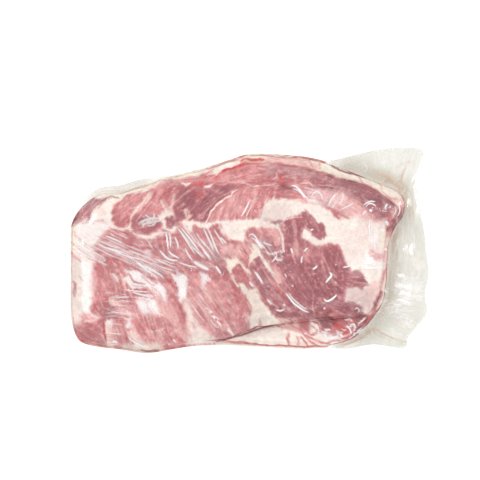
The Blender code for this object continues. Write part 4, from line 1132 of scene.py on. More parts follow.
# Where the film is finely wrinkled: softness, strength, outline.
WRINKLED = [
    (10, 1.0, [
        (72, 244), (96, 236), (120, 231), (160, 234), (176, 225), (208, 225), (230, 246), (228, 264),
        (210, 274), (190, 272), (168, 286), (150, 294), (122, 274), (108, 258), (84, 264),
    ]),
    (8, 0.7, [(104, 290), (134, 294), (152, 298), (158, 314), (140, 320), (122, 322), (104, 318)]),
    (8, 0.5, [(188, 284), (232, 296), (236, 336), (204, 336), (186, 306)]),
    (8, 0.5, [(240, 236), (272, 234), (286, 256), (288, 300), (268, 300), (248, 268)]),
    (6, 0.35, [(300, 322), (366, 317), (374, 322), (362, 338), (336, 350), (300, 350)]),
    (8, 0.45, [
        (384, 216), (392, 196), (412, 190), (416, 240), (408, 300), (392, 320), (372, 330), (386, 290),
        (390, 250),
    ]),
    (8, 0.6, [
        (70, 225), (90, 196), (120, 184), (204, 164), (204, 176), (150, 190), (118, 200), (92, 212),
        (74, 240),
    ]),
    (12, 0.45, [
        (380, 140), (440, 140), (440, 356), (366, 356), (380, 330), (412, 280), (412, 200), (392, 176),
    ]),
    (8, 0.4, [(296, 182), (350, 188), (400, 205), (394, 228), (360, 214), (310, 204)]),
]

# Meat juice held between the film and the meat, or in the film's folds: colour, width, strength, points.
JUICE = [
    ("tan", 1.2, 0.95, [(366, 327), (371, 330), (384, 334), (392, 339), (410, 344)]),
    ("tan", 9.0, 0.47, [(374, 170), (384, 173), (393, 178), (400, 186)]),
    ("tan", 2.4, 0.74, [(380, 173), (388, 176), (394, 181), (400, 187), (402, 192)]),
    ("tan", 1.6, 0.81, [(401, 194), (404, 186), (402, 178), (405, 170), (408, 166)]),
    ("tan", 2.0, 0.68, [(404, 180), (407, 188), (409, 196), (413, 212), (414, 224)]),
    ("tan", 1.2, 0.54, [(398, 170), (402, 162), (411, 160), (416, 163)]),
    ("tan", 2.6, 0.68, [(399, 226), (397, 236), (394, 246), (394, 256)]),
    ("tan", 1.6, 0.68, [(398, 247), (399, 255), (397, 261)]),
    ("tan", 1.2, 0.54, [(406, 242), (412, 248), (417, 255), (420, 262)]),
    ("tan", 2.0, 0.61, [(393, 262), (391, 280), (391, 296), (386, 308), (376, 320)]),
    ("tan", 1.2, 0.68, [(119, 192), (127, 190), (139, 186), (150, 183)]),
    ("tan", 1.2, 0.54, [(113, 189), (120, 190), (126, 188)]),
    ("deep", 1.1, 0.55, [(96, 199), (100, 200), (106, 197), (110, 196), (114, 197), (119, 198)]),
    ("tan", 1.4, 0.68, [(206, 168), (224, 162), (240, 158)]),
    ("tan", 2.2, 0.68, [(340, 347), (354, 343), (366, 337), (376, 328)]),
    ("tan", 1.0, 0.47, [(384, 316), (396, 321), (410, 322)]),
    ("tan", 1.0, 0.47, [(390, 322), (404, 330), (416, 330)]),
]

# Which way the film's wrinkles run, in degrees up from the right: place and direction.
FILM_PULL = [
    (85, 240, -35), (110, 248, -24), (140, 258, -22), (150, 275, -36), (166, 240, -80), (182, 238, -54),
    (200, 244, -58), (214, 240, -62), (200, 262, -24), (120, 300, -2), (115, 326, 0), (140, 300, -20),
    (130, 280, -40), (160, 300, -48), (215, 310, -50), (250, 250, -55), (260, 280, -58), (295, 302, -48),
    (300, 190, -45), (330, 200, 62), (370, 204, 30), (371, 226, -88), (396, 206, -72), (348, 206, 20),
    (400, 158, 62), (412, 182, 76), (406, 220, 84), (400, 250, 86), (396, 286, 70), (392, 308, 30),
    (408, 300, -14), (402, 330, -18), (382, 345, -14), (110, 190, 14), (160, 176, 12), (200, 168, 14),
    (80, 208, 52), (270, 338, 4), (330, 336, -16), (356, 328, 42), (316, 330, -60), (366, 262, 8),
    (368, 160, -80), (386, 158, -84),
]


def smoothstep(low, high, value):
    t = np.clip((value - low) / (high - low), 0.0, 1.0)
    return t * t * (3 - 2 * t)


def spline(points, closed, samples):
    """A Catmull-Rom curve through the points, sampled evenly within each span."""
    knots = np.array(points, float)
    count = len(knots)
    spans = count if closed else count - 1
    curve = []
    for i in range(spans):
        if closed:
            p0, p1, p2, p3 = (knots[(i + k) % count] for k in (-1, 0, 1, 2))
        else:
            p0, p1, p2, p3 = (knots[min(max(i + k, 0), count - 1)] for k in (-1, 0, 1, 2))
        for t in np.arange(samples) / samples:
            curve.append(
                0.5 * (2 * p1 + (p2 - p0) * t + (2 * p0 - 5 * p1 + 4 * p2 - p3) * t**2
                       + (3 * p1 - p0 - 3 * p2 + p3) * t**3)
            )
    if not closed:
        curve.append(knots[-1])
    return np.array(curve)


def run_length(line):
    """How far along the line each of its points lies."""
    return np.concatenate([[0.0], np.cumsum(np.linalg.norm(np.diff(line, axis=0), axis=1))])


def places_along(line, along, at):
    """Points at the given lengths of line, where along says how far along it its own points lie."""
    return np.column_stack([np.interp(at, along, line[:, k]) for k in range(2)])


def evenly_spaced(line, count):
    """count points along the line, the same length of line between each two."""
    along = run_length(line)
    return places_along(line, along, np.linspace(0.0, along[-1], count))


def away_from_run(points, start, end):
    """How far each point is from the straight run, and the share of it at which the nearest place is."""
    run = end - start
    to_point = points - start
    share = np.clip((to_point @ run) / max(run @ run, 1e-12), 0.0, 1.0)
    return np.hypot(*(to_point - share[:, None] * run).T), share


def inside_distance(points, outline):
    """How far each point lies inside the closed outline, and below zero outside it."""
    best = np.full(len(points), 1e9)
    odd = np.zeros(len(points), bool)
    for start, end in zip(outline, np.roll(outline, -1, axis=0)):
        best = np.minimum(best, away_from_run(points, start, end)[0])
        run = end - start
        if abs(run[1]) > 1e-12:
            crosses = (start[1] > points[:, 1]) != (end[1] > points[:, 1])
            odd ^= crosses & (points[:, 0] < start[0] + (points[:, 1] - start[1]) / run[1] * run[0])
    return np.where(odd, best, -best)


def line_distance(points, line):
    """How far each point is from the open line, and how far along it the nearest place is, 0 to 1."""
    before = run_length(line)
    best = np.full(len(points), 1e9)
    at = np.zeros(len(points))
    for k, length in enumerate(np.linalg.norm(np.diff(line, axis=0), axis=1)):
        away, share = away_from_run(points, line[k], line[k + 1])
        nearer = away < best
        best = np.where(nearer, away, best)
        at = np.where(nearer, (before[k] + share * length) / before[-1], at)
    return best, at


def value_noise(x, y, seed):
    """Smooth random values from 0 to 1, about one swing for each unit of x and y."""
    lattice = np.random.default_rng(seed).random((256, 256))
    i, j = np.floor(x).astype(int), np.floor(y).astype(int)
    fx, fy = x - i, y - j
    fx, fy = fx * fx * (3 - 2 * fx), fy * fy * (3 - 2 * fy)
    a, b = lattice[i % 256, j % 256], lattice[(i + 1) % 256, j % 256]
    c, d = lattice[i % 256, (j + 1) % 256], lattice[(i + 1) % 256, (j + 1) % 256]
    return (a * (1 - fx) + b * fx) * (1 - fy) + (c * (1 - fx) + d * fx) * fy


def blotches(points, size, seed):
    """Smooth random values from 0 to 1 with swings of that size, one size or one for each direction."""
    x, y = (points / size).T
    return value_noise(x, y, seed)


# The pack's shape.


def outline_and_sides(outline, along, across):
    """The closed outline as one spline, in metres, and its four sides cut from it at the corners."""
    runs = [
        outline["back"][:-1], outline["right"][:-1],
        outline["front"][:0:-1], outline["left"][:0:-1],
    ]
    closed = spline([point for run in runs for point in run], True, SAMPLES_PER_SPAN) * MM
    ends = np.cumsum([0] + [len(run) * SAMPLES_PER_SPAN for run in runs])
    looped = np.vstack([closed, closed[:1]])
    back, right, front, left = (looped[a:b + 1] for a, b in zip(ends[:-1], ends[1:]))
    return closed, {
        "back": evenly_spaced(back, along + 1),
        "right": evenly_spaced(right[::-1], across + 1),
        "front": evenly_spaced(front[::-1], along + 1),
        "left": evenly_spaced(left, across + 1),
    }


def coons_patch(sides):
    """A grid of plan points that follows all four sides, as grid[along][across] from the front left."""
    u = np.linspace(0.0, 1.0, len(sides["back"]))[:, None, None]
    v = np.linspace(0.0, 1.0, len(sides["left"]))[None, :, None]
    back, front = sides["back"][:, None, :], sides["front"][:, None, :]
    left, right = sides["left"][None, :, :], sides["right"][None, :, :]
    corners = (
        (1 - u) * (1 - v) * front[0, 0] + u * (1 - v) * front[-1, 0]
        + (1 - u) * v * back[0, 0] + u * v * back[-1, 0]
    )
    return (1 - v) * front + v * back + (1 - u) * left + u * right - corners


def stations(sides):
    """The four sides as one closed run, from the back left corner round the right end."""
    return np.vstack([
        sides["back"][:-1], sides["right"][:0:-1], sides["front"][:0:-1], sides["left"][:-1],
    ])


def outward(ring):
    along = np.roll(ring, -3, axis=0) - np.roll(ring, 3, axis=0)
    across = np.column_stack([-along[:, 1], along[:, 0]])
    return across / np.linalg.norm(across, axis=1)[:, None]


def lip_edge(rim):
    """Where the film's free edge lies outside each rim station, with the tail at the right end."""
    at_back = rim[:, 1] > 0
    notch = np.exp(-(((rim[:, 0] - NOTCH_LIP_CENTRE_X) / NOTCH_LIP_REACH) ** 2)) * at_back
    width = LIP_WIDTH + (NOTCH_LIP_WIDTH - LIP_WIDTH) * notch
    edge = rim + outward(rim) * width[:, None]
    tail = spline(TAIL_EDGE, False, SAMPLES_PER_SPAN) * MM
    first, last = (int(np.argmin(np.linalg.norm(rim - tail[end], axis=1))) for end in (0, -1))
    rim_run = run_length(rim[first:last + 1])
    tail_run = run_length(tail)
    edge[first:last + 1] = places_along(tail, tail_run, rim_run / rim_run[-1] * tail_run[-1])
    return edge


class PackPlan:
    """The pack seen from above: outlines, the grid over the upper rack, and its border, rim and edge."""

    def __init__(self, along, across):
        self.cells = (along, across)
        self.meat_outline, meat_sides = outline_and_sides(MEAT_OUTLINE, along, across)
        self.upper_outline, upper_sides = outline_and_sides(UPPER_OUTLINE, along, across)
        self.grid = coons_patch(upper_sides).reshape(-1, 2)
        self.step = stations(upper_sides)
        self.rim = stations(meat_sides)
        self.edge = lip_edge(self.rim)
        self.lip_width = np.linalg.norm(self.edge - self.rim, axis=1)

    def from_rim(self, points):
        return inside_distance(points, self.meat_outline)

    def from_step(self, points):
        return inside_distance(points, self.upper_outline)

    def tucked(self):
        """The upper rack's border moved inwards, out of sight."""
        return self.step - outward(self.step) * TUCK_WIDTH

    def skirt(self, rows):
        """Rings of the loose film, from just outside the rim to the free edge."""
        return between(self.rim, self.edge, np.linspace(0, 1, rows + 1))[1:]

    def border(self):
        """Numbers of the grid's border points, in the order of stations."""
        along, across = self.cells
        back = [i * (across + 1) + across for i in range(along)]
        right = [along * (across + 1) + j for j in range(across, 0, -1)]
        front = [i * (across + 1) for i in range(along, 0, -1)]
        return np.array(back + right + front + list(range(across)))

    def grid_faces(self):
        along, across = self.cells
        i, j = np.meshgrid(np.arange(along), np.arange(across), indexing="ij")
        corner = (i * (across + 1) + j).ravel()
        return np.column_stack([corner, corner + across + 1, corner + across + 2, corner + 1])

    def loops(self, first, rows):
        """Point numbers of as many rings as rows says, where the first ring's points start at first."""
        return [first + row * len(self.rim) + np.arange(len(self.rim)) for row in range(rows)]


def between(inner, outer, shares):
    return [inner + (outer - inner) * share for share in shares]


def ring_faces(loops):
    """Faces between each loop of point numbers and the next one out."""
    faces = []
    for inner, outer in zip(loops[:-1], loops[1:]):
        faces.append(np.column_stack([inner, outer, np.roll(outer, 1), np.roll(inner, 1)]))
    return np.vstack(faces)


def crowded_shares(rows):
    return 1 - (1 - np.linspace(0, 1, rows + 1)) ** LEDGE_CROWDING


def rounded_rise(share):
    """From 0 at an edge to 1, steep at first, like the side of a rounded slab."""
    t = np.clip(share, 0.0, 1.0)
    return (1 - (1 - t) ** ROUNDNESS) ** (1 / ROUNDNESS)


def smooth_max(a, b, blend):
    top = np.maximum(a, b)
    return top + blend * np.log(np.exp((a - top) / blend) + np.exp((b - top) / blend))


def rib_wave(points):
    """1 along the middle of each rib and -1 between two ribs, the ribs fanning out to the right."""
    x, y = points[:, 0], points[:, 1]
    lean = RIB_LEAN_LEFT + (RIB_LEAN_RIGHT - RIB_LEAN_LEFT) * smoothstep(*RIB_LEAN_X, x)
    return np.cos(2 * math.pi * (x + lean * (y - RIB_PIVOT_Y)) / RIB_PITCH)


def bump(points, x, y, reach_x, reach_y):
    """A soft round swelling of height 1 at (x, y)."""
    return np.exp(-(((points[:, 0] - x) / reach_x) ** 2) - ((points[:, 1] - y) / reach_y) ** 2)


def muscle_relief(points):
    """What stands out of the upper rack: ribs at the front, and a few broad muscles."""
    ribs_show = smoothstep(*RIBS_FADE_Y, points[:, 1]) * smoothstep(*RIBS_FADE_X, points[:, 0])
    relief = RIB_RELIEF * rib_wave(points) * ribs_show
    for height, *place_and_reach in MUSCLES:
        relief += height * MM * bump(points, *(value * MM for value in place_and_reach))
    return relief


def step_softness(points):
    """How softly the two racks run into each other: with a crevice at the front right, else smoothly."""
    x, y = points[:, 0], points[:, 1]
    front_right = smoothstep(*CREVICE_X, x) * smoothstep(*CREVICE_Y, y)
    right = RIGHT_STEP_SHARE * smoothstep(*RIGHT_STEP_X, x)
    return STEP_SOFTNESS - CREVICE_SHARPNESS * np.maximum(front_right, right)


def pack_top(points, from_rim, from_step):
    """Height of the bag's upper side over the meat."""
    lower = RIM_HEIGHT + (LOWER_RACK_HEIGHT - RIM_HEIGHT) * rounded_rise(from_rim / LOWER_EDGE_ROUND)
    x = points[:, 0]
    crown = THIN_END_HEIGHT + (THICK_HEIGHT - THIN_END_HEIGHT) * smoothstep(*CROWN_RISE_X, x)
    crown -= (THICK_HEIGHT - RIGHT_END_HEIGHT) * smoothstep(*CROWN_FALL_X, x)
    rise = rounded_rise(from_step / UPPER_EDGE_ROUND)
    upper = STEP_FOOT_HEIGHT + (crown - STEP_FOOT_HEIGHT + muscle_relief(points)) * rise
    upper += STEP_FALL * np.minimum(from_step, 0.0)
    return smooth_max(lower, upper, step_softness(points))


def pack_base(points, from_rim):
    """Height of the bag's underside: flat along the rib bones, with shallow grooves between them."""
    under_edge = RIM_HEIGHT * (1 - rounded_rise(from_rim / BASE_EDGE_ROUND))
    in_groove = smoothstep(*GROOVE_WAVE, -rib_wave(points))
    return under_edge + BASE_GROOVE_DEPTH * in_groove * smoothstep(*GROOVE_FROM_RIM, from_rim)


def skirt_height(rim, points):
    """Height of the film outside the meat: level at the rim, drooping and waving further out."""
    drop = smoothstep(*TAIL_DROP, np.linalg.norm(points - rim, axis=1))
    x, y = points[:, 0], points[:, 1]
    wave = np.sin(2 * math.pi * y / WAVE_ACROSS + x / WAVE_SLANT)
    wave += WAVE_SHARE * np.sin(2 * math.pi * x / WAVE_ALONG)
    return RIM_HEIGHT + (TAIL_REST_HEIGHT - RIM_HEIGHT) * drop + TAIL_WAVE * wave * drop


def photo_places(plan, height):
    """Where places on the pack show in the photograph, in its pixels to the right and down."""
    nearness = (CAMERA_HEIGHT - PHOTO_PLANE) / (CAMERA_HEIGHT - height)
    return PHOTO_SIDE / 2 + (plan - CAMERA_PLAN) * [1, -1] * nearness[:, None] / PHOTO_PIXEL


# Colours of the flesh.


def unit(degrees):
    """A vector of length 1 at that angle."""
    angle = math.radians(degrees)
    return np.array([math.cos(angle), math.sin(angle)])


def grain_direction(points, places):
    """Unit vectors along the grain, in pixels to the right and down; the nearest places count most."""
    total = np.zeros((len(points), 2))
    for x, y, degrees in places:
        away = (points[:, 0] - x) ** 2 + (points[:, 1] - y) ** 2
        total += (1 / (away + GRAIN_BLEND) ** GRAIN_FALLOFF)[:, None] * unit(2 * degrees)
    angle = np.arctan2(total[:, 1], total[:, 0]) / 2
    return np.column_stack([np.cos(angle), -np.sin(angle)])


def turn_shares(direction):
    """How much each of the shader's fixed directions takes part at each point, as two sets of four."""
    angle = np.degrees(np.arctan2(-direction[:, 1], direction[:, 0]))
    turns = np.arange(TURNS) * 180 / TURNS
    off = np.abs((angle[:, None] - turns + 90) % 180 - 90)
    shares = np.clip(1 - off * TURNS / 180, 0, 1)
    return {"grain_a": shares[:, :4], "grain_b": shares[:, 4:]}


def streaks(points, direction, width, reach, seed):
    """Random values from 0 to 1 drawn out into streaks along the direction."""
    total = np.zeros(len(points))
    for step in np.linspace(-reach, reach, STREAK_STEPS):
        at = (points + direction * step) / width + STREAK_SHIFT
        total += value_noise(at[:, 0], at[:, 1], seed)
    mean = total / STREAK_STEPS
    return np.clip((mean - mean.mean()) / (STREAK_SPREAD * mean.std()) + 0.5, 0, 1)


def wandering(points):
    """The points moved a little at random, so that edges aren't drawn too cleanly."""
    moves = []
    for first_seed in (1, 1 + len(WANDER)):
        moves.append(sum(
            reach * (blotches(points, size, first_seed + k) - 0.5) for k, (size, reach) in enumerate(WANDER)
        ))
    return points + np.column_stack(moves)


def near_shape(points, shape, margin):
    shape = np.array(shape, float)
    low, high = shape.min(axis=0) - margin, shape.max(axis=0) + margin
    return np.all((points > low) & (points < high), axis=1)


def covered(points, outline, soft, fringe):
    """Which points are near the area, how far inside it each lies, and how much of it covers each."""
    near = near_shape(points, outline, soft + SURROUNDINGS)
    inside = inside_distance(points[near], spline(outline, True, DRAWN_SAMPLES)) + fringe[near]
    return near, inside, smoothstep(-soft / 2, soft / 2, inside)


def drawn(points, line, width):
    """Which points are near the line, and how much of it covers each; it tapers towards its ends."""
    near = near_shape(points, line, width + SURROUNDINGS)
    away, at = line_distance(points[near], spline(line, False, DRAWN_SAMPLES))
    fullness = np.sin(math.pi * np.clip(at, *LINE_ENDS)) ** 0.5
    half = width / 2 * (LINE_END_WIDTH + (1 - LINE_END_WIDTH) * fullness)
    return near, smoothstep(half + LINE_BLUR, half - LINE_BLUR, away)


def lay(colour, tone, share, where=slice(None)):
    """Lays a tone over the painted colours, hiding as much of them as the share says."""
    colour[where] += (np.array(tone) - colour[where]) * share[:, None]


def fan(first, last, count, seed):
    """Lines that fill the space between two given ones, each with a weight and over a random stretch."""
    rng = np.random.default_rng(seed)
    first, last = spline(first, False, FAN_SAMPLES), spline(last, False, FAN_SAMPLES)
    for share in (np.arange(count) + rng.uniform(0.1, 0.9, count)) / count:
        begin = int(rng.integers(0, len(first) // 2))
        end = int(rng.integers(begin + len(first) // 3, len(first) + 1))
        line = (first + (last - first) * share)[begin:end] + rng.normal(0, FAN_STRAY, 2)
        yield rng.uniform(*FAN_WEIGHTS), line


def with_fans(lines, fans, first_seed, most):
    """The single lines and those of each family: colour if they have one, width, strength, points."""
    lines = list(lines)
    for seed, (*colour, width, strength, count, first, last) in enumerate(fans):
        for weight, line in fan(first, last, count, first_seed + seed):
            lines.append((*colour, width * weight, min(most, strength * weight), line))
    return lines


def paint_tones(points, colour, fibre, bundle):
    """Grain, veins and a blush over the painted areas; returns how lean each point is."""
    redness = smoothstep(*RED_OVER_GREEN, colour[:, 0] - colour[:, 1])
    colour *= (1 + redness * (0.08 * (fibre - 0.5) + 0.10 * (bundle - 0.5)))[:, None]
    lay(colour, PALETTE["salmon"], smoothstep(0.70, 0.92, bundle) * redness * 0.35)
    blush = (1 - redness) * smoothstep(0.45, 0.85, blotches(points, *BLUSH))
    lay(colour, PALETTE["salmon"], 0.18 * blush)
    return redness


def paint_blotches(points, colour, redness):
    """Paler and redder clouds on the lean, and a fine speckle everywhere."""
    cloud = blotches(points, *CLOUD)
    mottle = blotches(points, *MOTTLE)
    speckle = blotches(points, *SPECKLE)
    colour *= (1 + 0.07 * (mottle - 0.5) + (0.05 + 0.08 * redness) * (speckle - 0.5))[:, None]
    clouded = redness * (0.2 * smoothstep(0.45, 0.95, cloud) + 0.3 * smoothstep(0.62, 0.95, mottle))
    lay(colour, PALETTE["pale"], clouded)
    lay(colour, PALETTE["red"], redness * 0.3 * smoothstep(0.40, 0.10, 0.5 * (cloud + mottle)))


def flesh(points):
    """Colour of the flesh as it looks, 0 to 1, how lean it is, its relief in metres and its grain."""
    moved = wandering(points)
    direction = grain_direction(points, GRAIN)
    fibre = streaks(points, direction, *FIBRE)
    bundle = streaks(points, direction, *BUNDLE)
    fringe = (fibre - 0.5) * 1.6 + (bundle - 0.5) * 2.0
    colour = np.tile(np.array(PALETTE["lean"], float), (len(points), 1))
    relief = np.zeros(len(points))
    for name, soft, strength, outline in AREAS:
        near, inside, cover = covered(moved, outline, soft * EDGE_SOFTNESS + EDGE_BLUR, fringe)
        share = strength * cover
        lay(colour, PALETTE[name], share, near)
        swell = MUSCLE_SWELL if name in LEAN_KINDS else 0.0
        relief[near] += (swell * smoothstep(-1, SWELL_REACH, inside) - relief[near]) * share
    redness = paint_tones(points, colour, fibre, bundle)
    for name, width, strength, line in with_fans(LINES, FLESH_FANS, FLESH_FAN_SEED, 1.0):
        near, share = drawn(moved, line, width)
        lay(colour, PALETTE[name], strength * share, near)
        relief[near] -= SEAM_DEPTH * strength * share * (1.0 if name == "deep" else FAINT_SEAM)
    paint_blotches(points, colour, redness)
    relief += FIBRE_RELIEF * redness * (bundle - 0.5)
    return np.clip(colour / 255, 0, 1), redness, relief, direction


def bone_side(plan, height, from_rim):
    """Colour of the underside and the cut sides: ribs under their membrane, with red meat between."""
    places = plan / MM
    strand = streaks(places, np.tile(unit(RIB_SLANT), (len(plan), 1)), *BONE_STRAND)
    patch = blotches(places + BONE_PATCH_SHIFT, *BONE_PATCHES)
    small = blotches(places, *BONE_FLECKS)
    wave = rib_wave(plan) + 0.35 * (small - 0.5)
    at_edge = smoothstep(15 * MM, 5 * MM, from_rim)
    level = height / MM + 3.0 * (blotches(places, *LAYER_HEIGHTS) - 0.5)
    layers = 0.5 + 0.5 * np.sin(level * 0.9 + 2.5 * blotches(places, *LAYER_PHASES))

    # Round the cut ends of the bones, at the back: 1 at the bone's skin.
    off_centre = np.arccos(np.clip(rib_wave(plan), -1, 1)) / BONE_HALF_WIDTH
    ring = np.hypot(off_centre, (height - BONE_CENTRE) / BONE_HALF_HEIGHT)
    at_back = at_edge * smoothstep(20 * MM, 40 * MM, plan[:, 1]) * smoothstep(12 * MM, 6 * MM, from_rim)

    colour = np.tile(np.array(PALETTE["red"], float), (len(plan), 1))
    for name, share in (
        ("pink", smoothstep(0.35, 0.75, strand) * 0.7),
        ("salmon", smoothstep(0.62, 0.9, strand) * 0.6),
        ("pale", smoothstep(0.0, 0.55, wave) * 0.85),
        ("cream", smoothstep(0.45, 0.95, wave) * 0.7),
        ("grey", smoothstep(0.3, 0.6, wave) * smoothstep(0.55, 0.3, patch) * 0.4),
        ("fat", smoothstep(0.62, 0.74, patch + 0.12 * (small - 0.5)) * 0.85),
        ("purple", smoothstep(-0.6, -0.95, wave) * smoothstep(0.5, 0.3, small) * 0.5),
        ("fat", at_edge * 0.45),
        ("lean", at_edge * smoothstep(0.55, 0.8, layers + 0.4 * (strand - 0.5)) * 0.8),
        ("cream", at_back * smoothstep(1.15, 0.95, ring) * 0.95),
        ("blood", at_back * smoothstep(0.78, 0.55, ring) * 0.75),
        ("deep", at_back * smoothstep(0.4, 0.1, ring) * 0.35),
    ):
        lay(colour, PALETTE[name], share)
    return np.clip(colour / 255, 0, 1)


# The film's creases, haze and painted highlights.


def crease_shares(points, line, width):
    """Which points are near the crease, how milky it makes each, and how much of its height each gets."""
    near = near_shape(points, line, width + 5)
    away, at = line_distance(points[near], spline(line, False, DRAWN_SAMPLES))
    taper = np.sin(math.pi * np.clip(at, 0.03, 0.97)) ** 0.6
    core = np.exp(-((away / (0.36 * width + 0.3)) ** 2)) * taper
    return near, smoothstep(*CREASE_CORE, core), np.exp(-((away / (width + 0.6)) ** 2)) * taper


def wrinkled_patches(moved):
    """How finely wrinkled the film is at each point, 0 to 1."""
    wrinkled = np.zeros(len(moved))
    for soft, strength, outline in WRINKLED:
        near, _, cover = covered(moved, outline, soft, np.zeros(len(moved)))
        wrinkled[near] = np.maximum(wrinkled[near], strength * cover)
    return wrinkled


def catch_light(points, moved, fine, broad, wrinkled):
    """How much painted highlight the film gets, in glare patches, creases and glints, and the creases'
    height.
    """
    shine = np.zeros(len(points))
    lift = CREASE_HEIGHT * wrinkled * (RIDGE_LIFT * (fine - 0.5) + FOLD_LIFT * (broad - 0.5))
    ragged = (broad - 0.5) * 6 + 6 * (blotches(points, *RAGGED) - 0.5)
    # Painted glare patches on the film, as white haze.
    for soft, strength, outline in MILKY_GLARE:
        near, _, cover = covered(moved, outline, soft, ragged)
        share = strength * cover * (1 - 0.5 * smoothstep(0.6, 0.3, fine[near]))
        shine[near] = np.maximum(shine[near], share)
    # Painted highlights along the creases, which also lift the film.
    for width, strength, line in with_fans(CREASES, FILM_FANS, FILM_FAN_SEED, STRONGEST_CREASE):
        near, cover, height = crease_shares(points, line, width)
        shine[near] = np.maximum(shine[near], strength * cover)
        lift[near] += CREASE_HEIGHT * strength * height
    # Painted glints, as white haze.
    spots = smoothstep(*GLINT_RANGE, blotches(points, *GLINTS))
    spotted = smoothstep(*GLINT_PATCH_RANGE, blotches(points, *GLINT_PATCHES))
    glint = GLINT_STRENGTH * spots * np.maximum(spotted, 0.4 * wrinkled)
    return np.maximum(shine, glint), lift


def film_state(points, over_meat, reach, lip_width):
    """The film's attributes for its shader, and its creases' height in metres."""
    moved = wandering(points)
    direction = grain_direction(points, FILM_PULL)
    fine = streaks(points, direction, *FINE_WRINKLE)
    broad = streaks(points, direction, *BROAD_WRINKLE)
    wrinkled = wrinkled_patches(moved)
    shine, lift = catch_light(points, moved, fine, broad, wrinkled)

    haze = RIDGE_HAZE * wrinkled * smoothstep(*RIDGE_RANGE, fine)
    haze += FOLD_HAZE * wrinkled * smoothstep(*FOLD_RANGE, broad)
    haze = np.maximum(haze, shine)
    outside = 1 - over_meat
    slack = TIGHT_HAZE + (1 - TIGHT_HAZE) * smoothstep(*SLACK_LIP, lip_width)
    haze = np.maximum(haze, outside * slack * (LOOSE_HAZE + 0.2 * wrinkled * (broad - 0.5)))

    loose = np.maximum(smoothstep(*LOOSE_REACH, reach), smoothstep(*NARROW_LIP, lip_width))
    # Outside the meat the film takes a tint with painted shade near it, and the loose film's tone further
    # out.
    outside_tone = np.tile(np.array(PALETTE["film_near_tint_and_shade"], float), (len(points), 1))
    lay(outside_tone, PALETTE["film_out"], loose)
    tone = np.tile(np.array(PALETTE["glare"], float), (len(points), 1))
    lay(tone, outside_tone, outside * (1 - shine))
    for name, width, strength, line in JUICE:
        near, cover = drawn(moved, line, width)
        lay(tone, PALETTE[name], strength * cover, near)
        haze[near] = np.maximum(haze[near], strength * cover)
    film = with_amount(np.clip(tone / 255, 0, 1), np.clip(haze, 0, MOST_HAZE))
    return {"film": film, "wrinkled": wrinkled, **turn_shares(direction)}, lift


# Meshes.


def linear(colour):
    """From how a colour looks to the amounts of light that a shader wants."""
    return np.where(colour <= 0.04045, colour / 12.92, ((colour + 0.055) / 1.055) ** 2.4)


def with_amount(colour, amount):
    return np.column_stack([linear(colour), amount])


def surface(name, plan, heights, faces, attributes, material):
    """One piece of the pack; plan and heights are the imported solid's, before it is centred."""
    used = np.unique(faces)
    renumbered = np.zeros(len(plan), int)
    renumbered[used] = np.arange(len(used))
    places = np.column_stack([(plan - PACK_MIDDLE) * PACK_SCALE, heights])[used]
    mesh = bpy.data.meshes.new(name)
    mesh.from_pydata(places.tolist(), [], renumbered[faces].tolist())
    mesh.shade_smooth()
    for key, values in attributes.items():
        kind, field = ("FLOAT_COLOR", "color") if values.ndim == 2 else ("FLOAT", "value")
        layer = mesh.attributes.new(key, kind, "POINT")
        layer.data.foreach_set(field, values[used].astype(np.float32).ravel())
    mesh.materials.append(material)
    piece = bpy.data.objects.new(name, mesh)
    bpy.context.scene.collection.objects.link(piece)
    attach(piece, "root")
    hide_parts(PACKED_NODE)
    return piece


def step_shade(plan):
    """How dark the painted shade in the crease at the upper rack's edge is: it shows most at the front right.
    """
    x, y = plan[:, 0], plan[:, 1]
    front = smoothstep(*SHADE_FRONT_X, x) * smoothstep(*SHADE_FRONT_Y, y)
    front *= 1 - 0.8 * smoothstep(*SHADE_FRONT_END, x)
    back = smoothstep(*SHADE_BACK_X, x) * smoothstep(*SHADE_BACK_Y, y)
    at_right = SHADE_RIGHT * smoothstep(*SHADE_RIGHT_X, x)
    return np.maximum(np.maximum(SHADE_FRONT * front, at_right), SHADE_BACK * back)


def paint_step_shade(colour, plan, away):
    """Lays the crease's painted shade over the colours, at points that are so far away from it."""
    lay(colour, np.array(PALETTE["deep"]) / 255, smoothstep(*STEP_SHADE_FADE, away) * step_shade(plan))


def build_upper_rack(pack, material):
    """The upper rack; returns its height under each point of the film that lies over it."""
    from_step = pack.from_step(pack.grid)
    heights = pack_top(pack.grid, pack.from_rim(pack.grid), np.maximum(from_step, 0.0))
    colour, lean, relief, direction = flesh(photo_places(pack.grid, heights))
    heights = heights - FILM_GAP + relief * smoothstep(*RELIEF_FROM_STEP, from_step)
    under_film = heights.copy()
    # Painted shade in the crease at the upper rack's edge.
    paint_step_shade(colour, pack.grid, from_step)

    border = pack.border()
    heights[border] -= STEP_SINK
    plan = np.vstack([pack.grid, pack.tucked()])
    heights = np.concatenate([heights, np.full(len(border), STEP_FOOT_HEIGHT - TUCK_DEPTH)])
    attributes = {"flesh": with_amount(colour, lean), **turn_shares(direction)}
    attributes = {key: np.vstack([values, values[border]]) for key, values in attributes.items()}
    loops = [border, *pack.loops(len(pack.grid), 1)]
    faces = np.vstack([pack.grid_faces(), ring_faces(loops)])
    surface("upper_rack", plan, heights, faces, attributes, material)
    return under_film


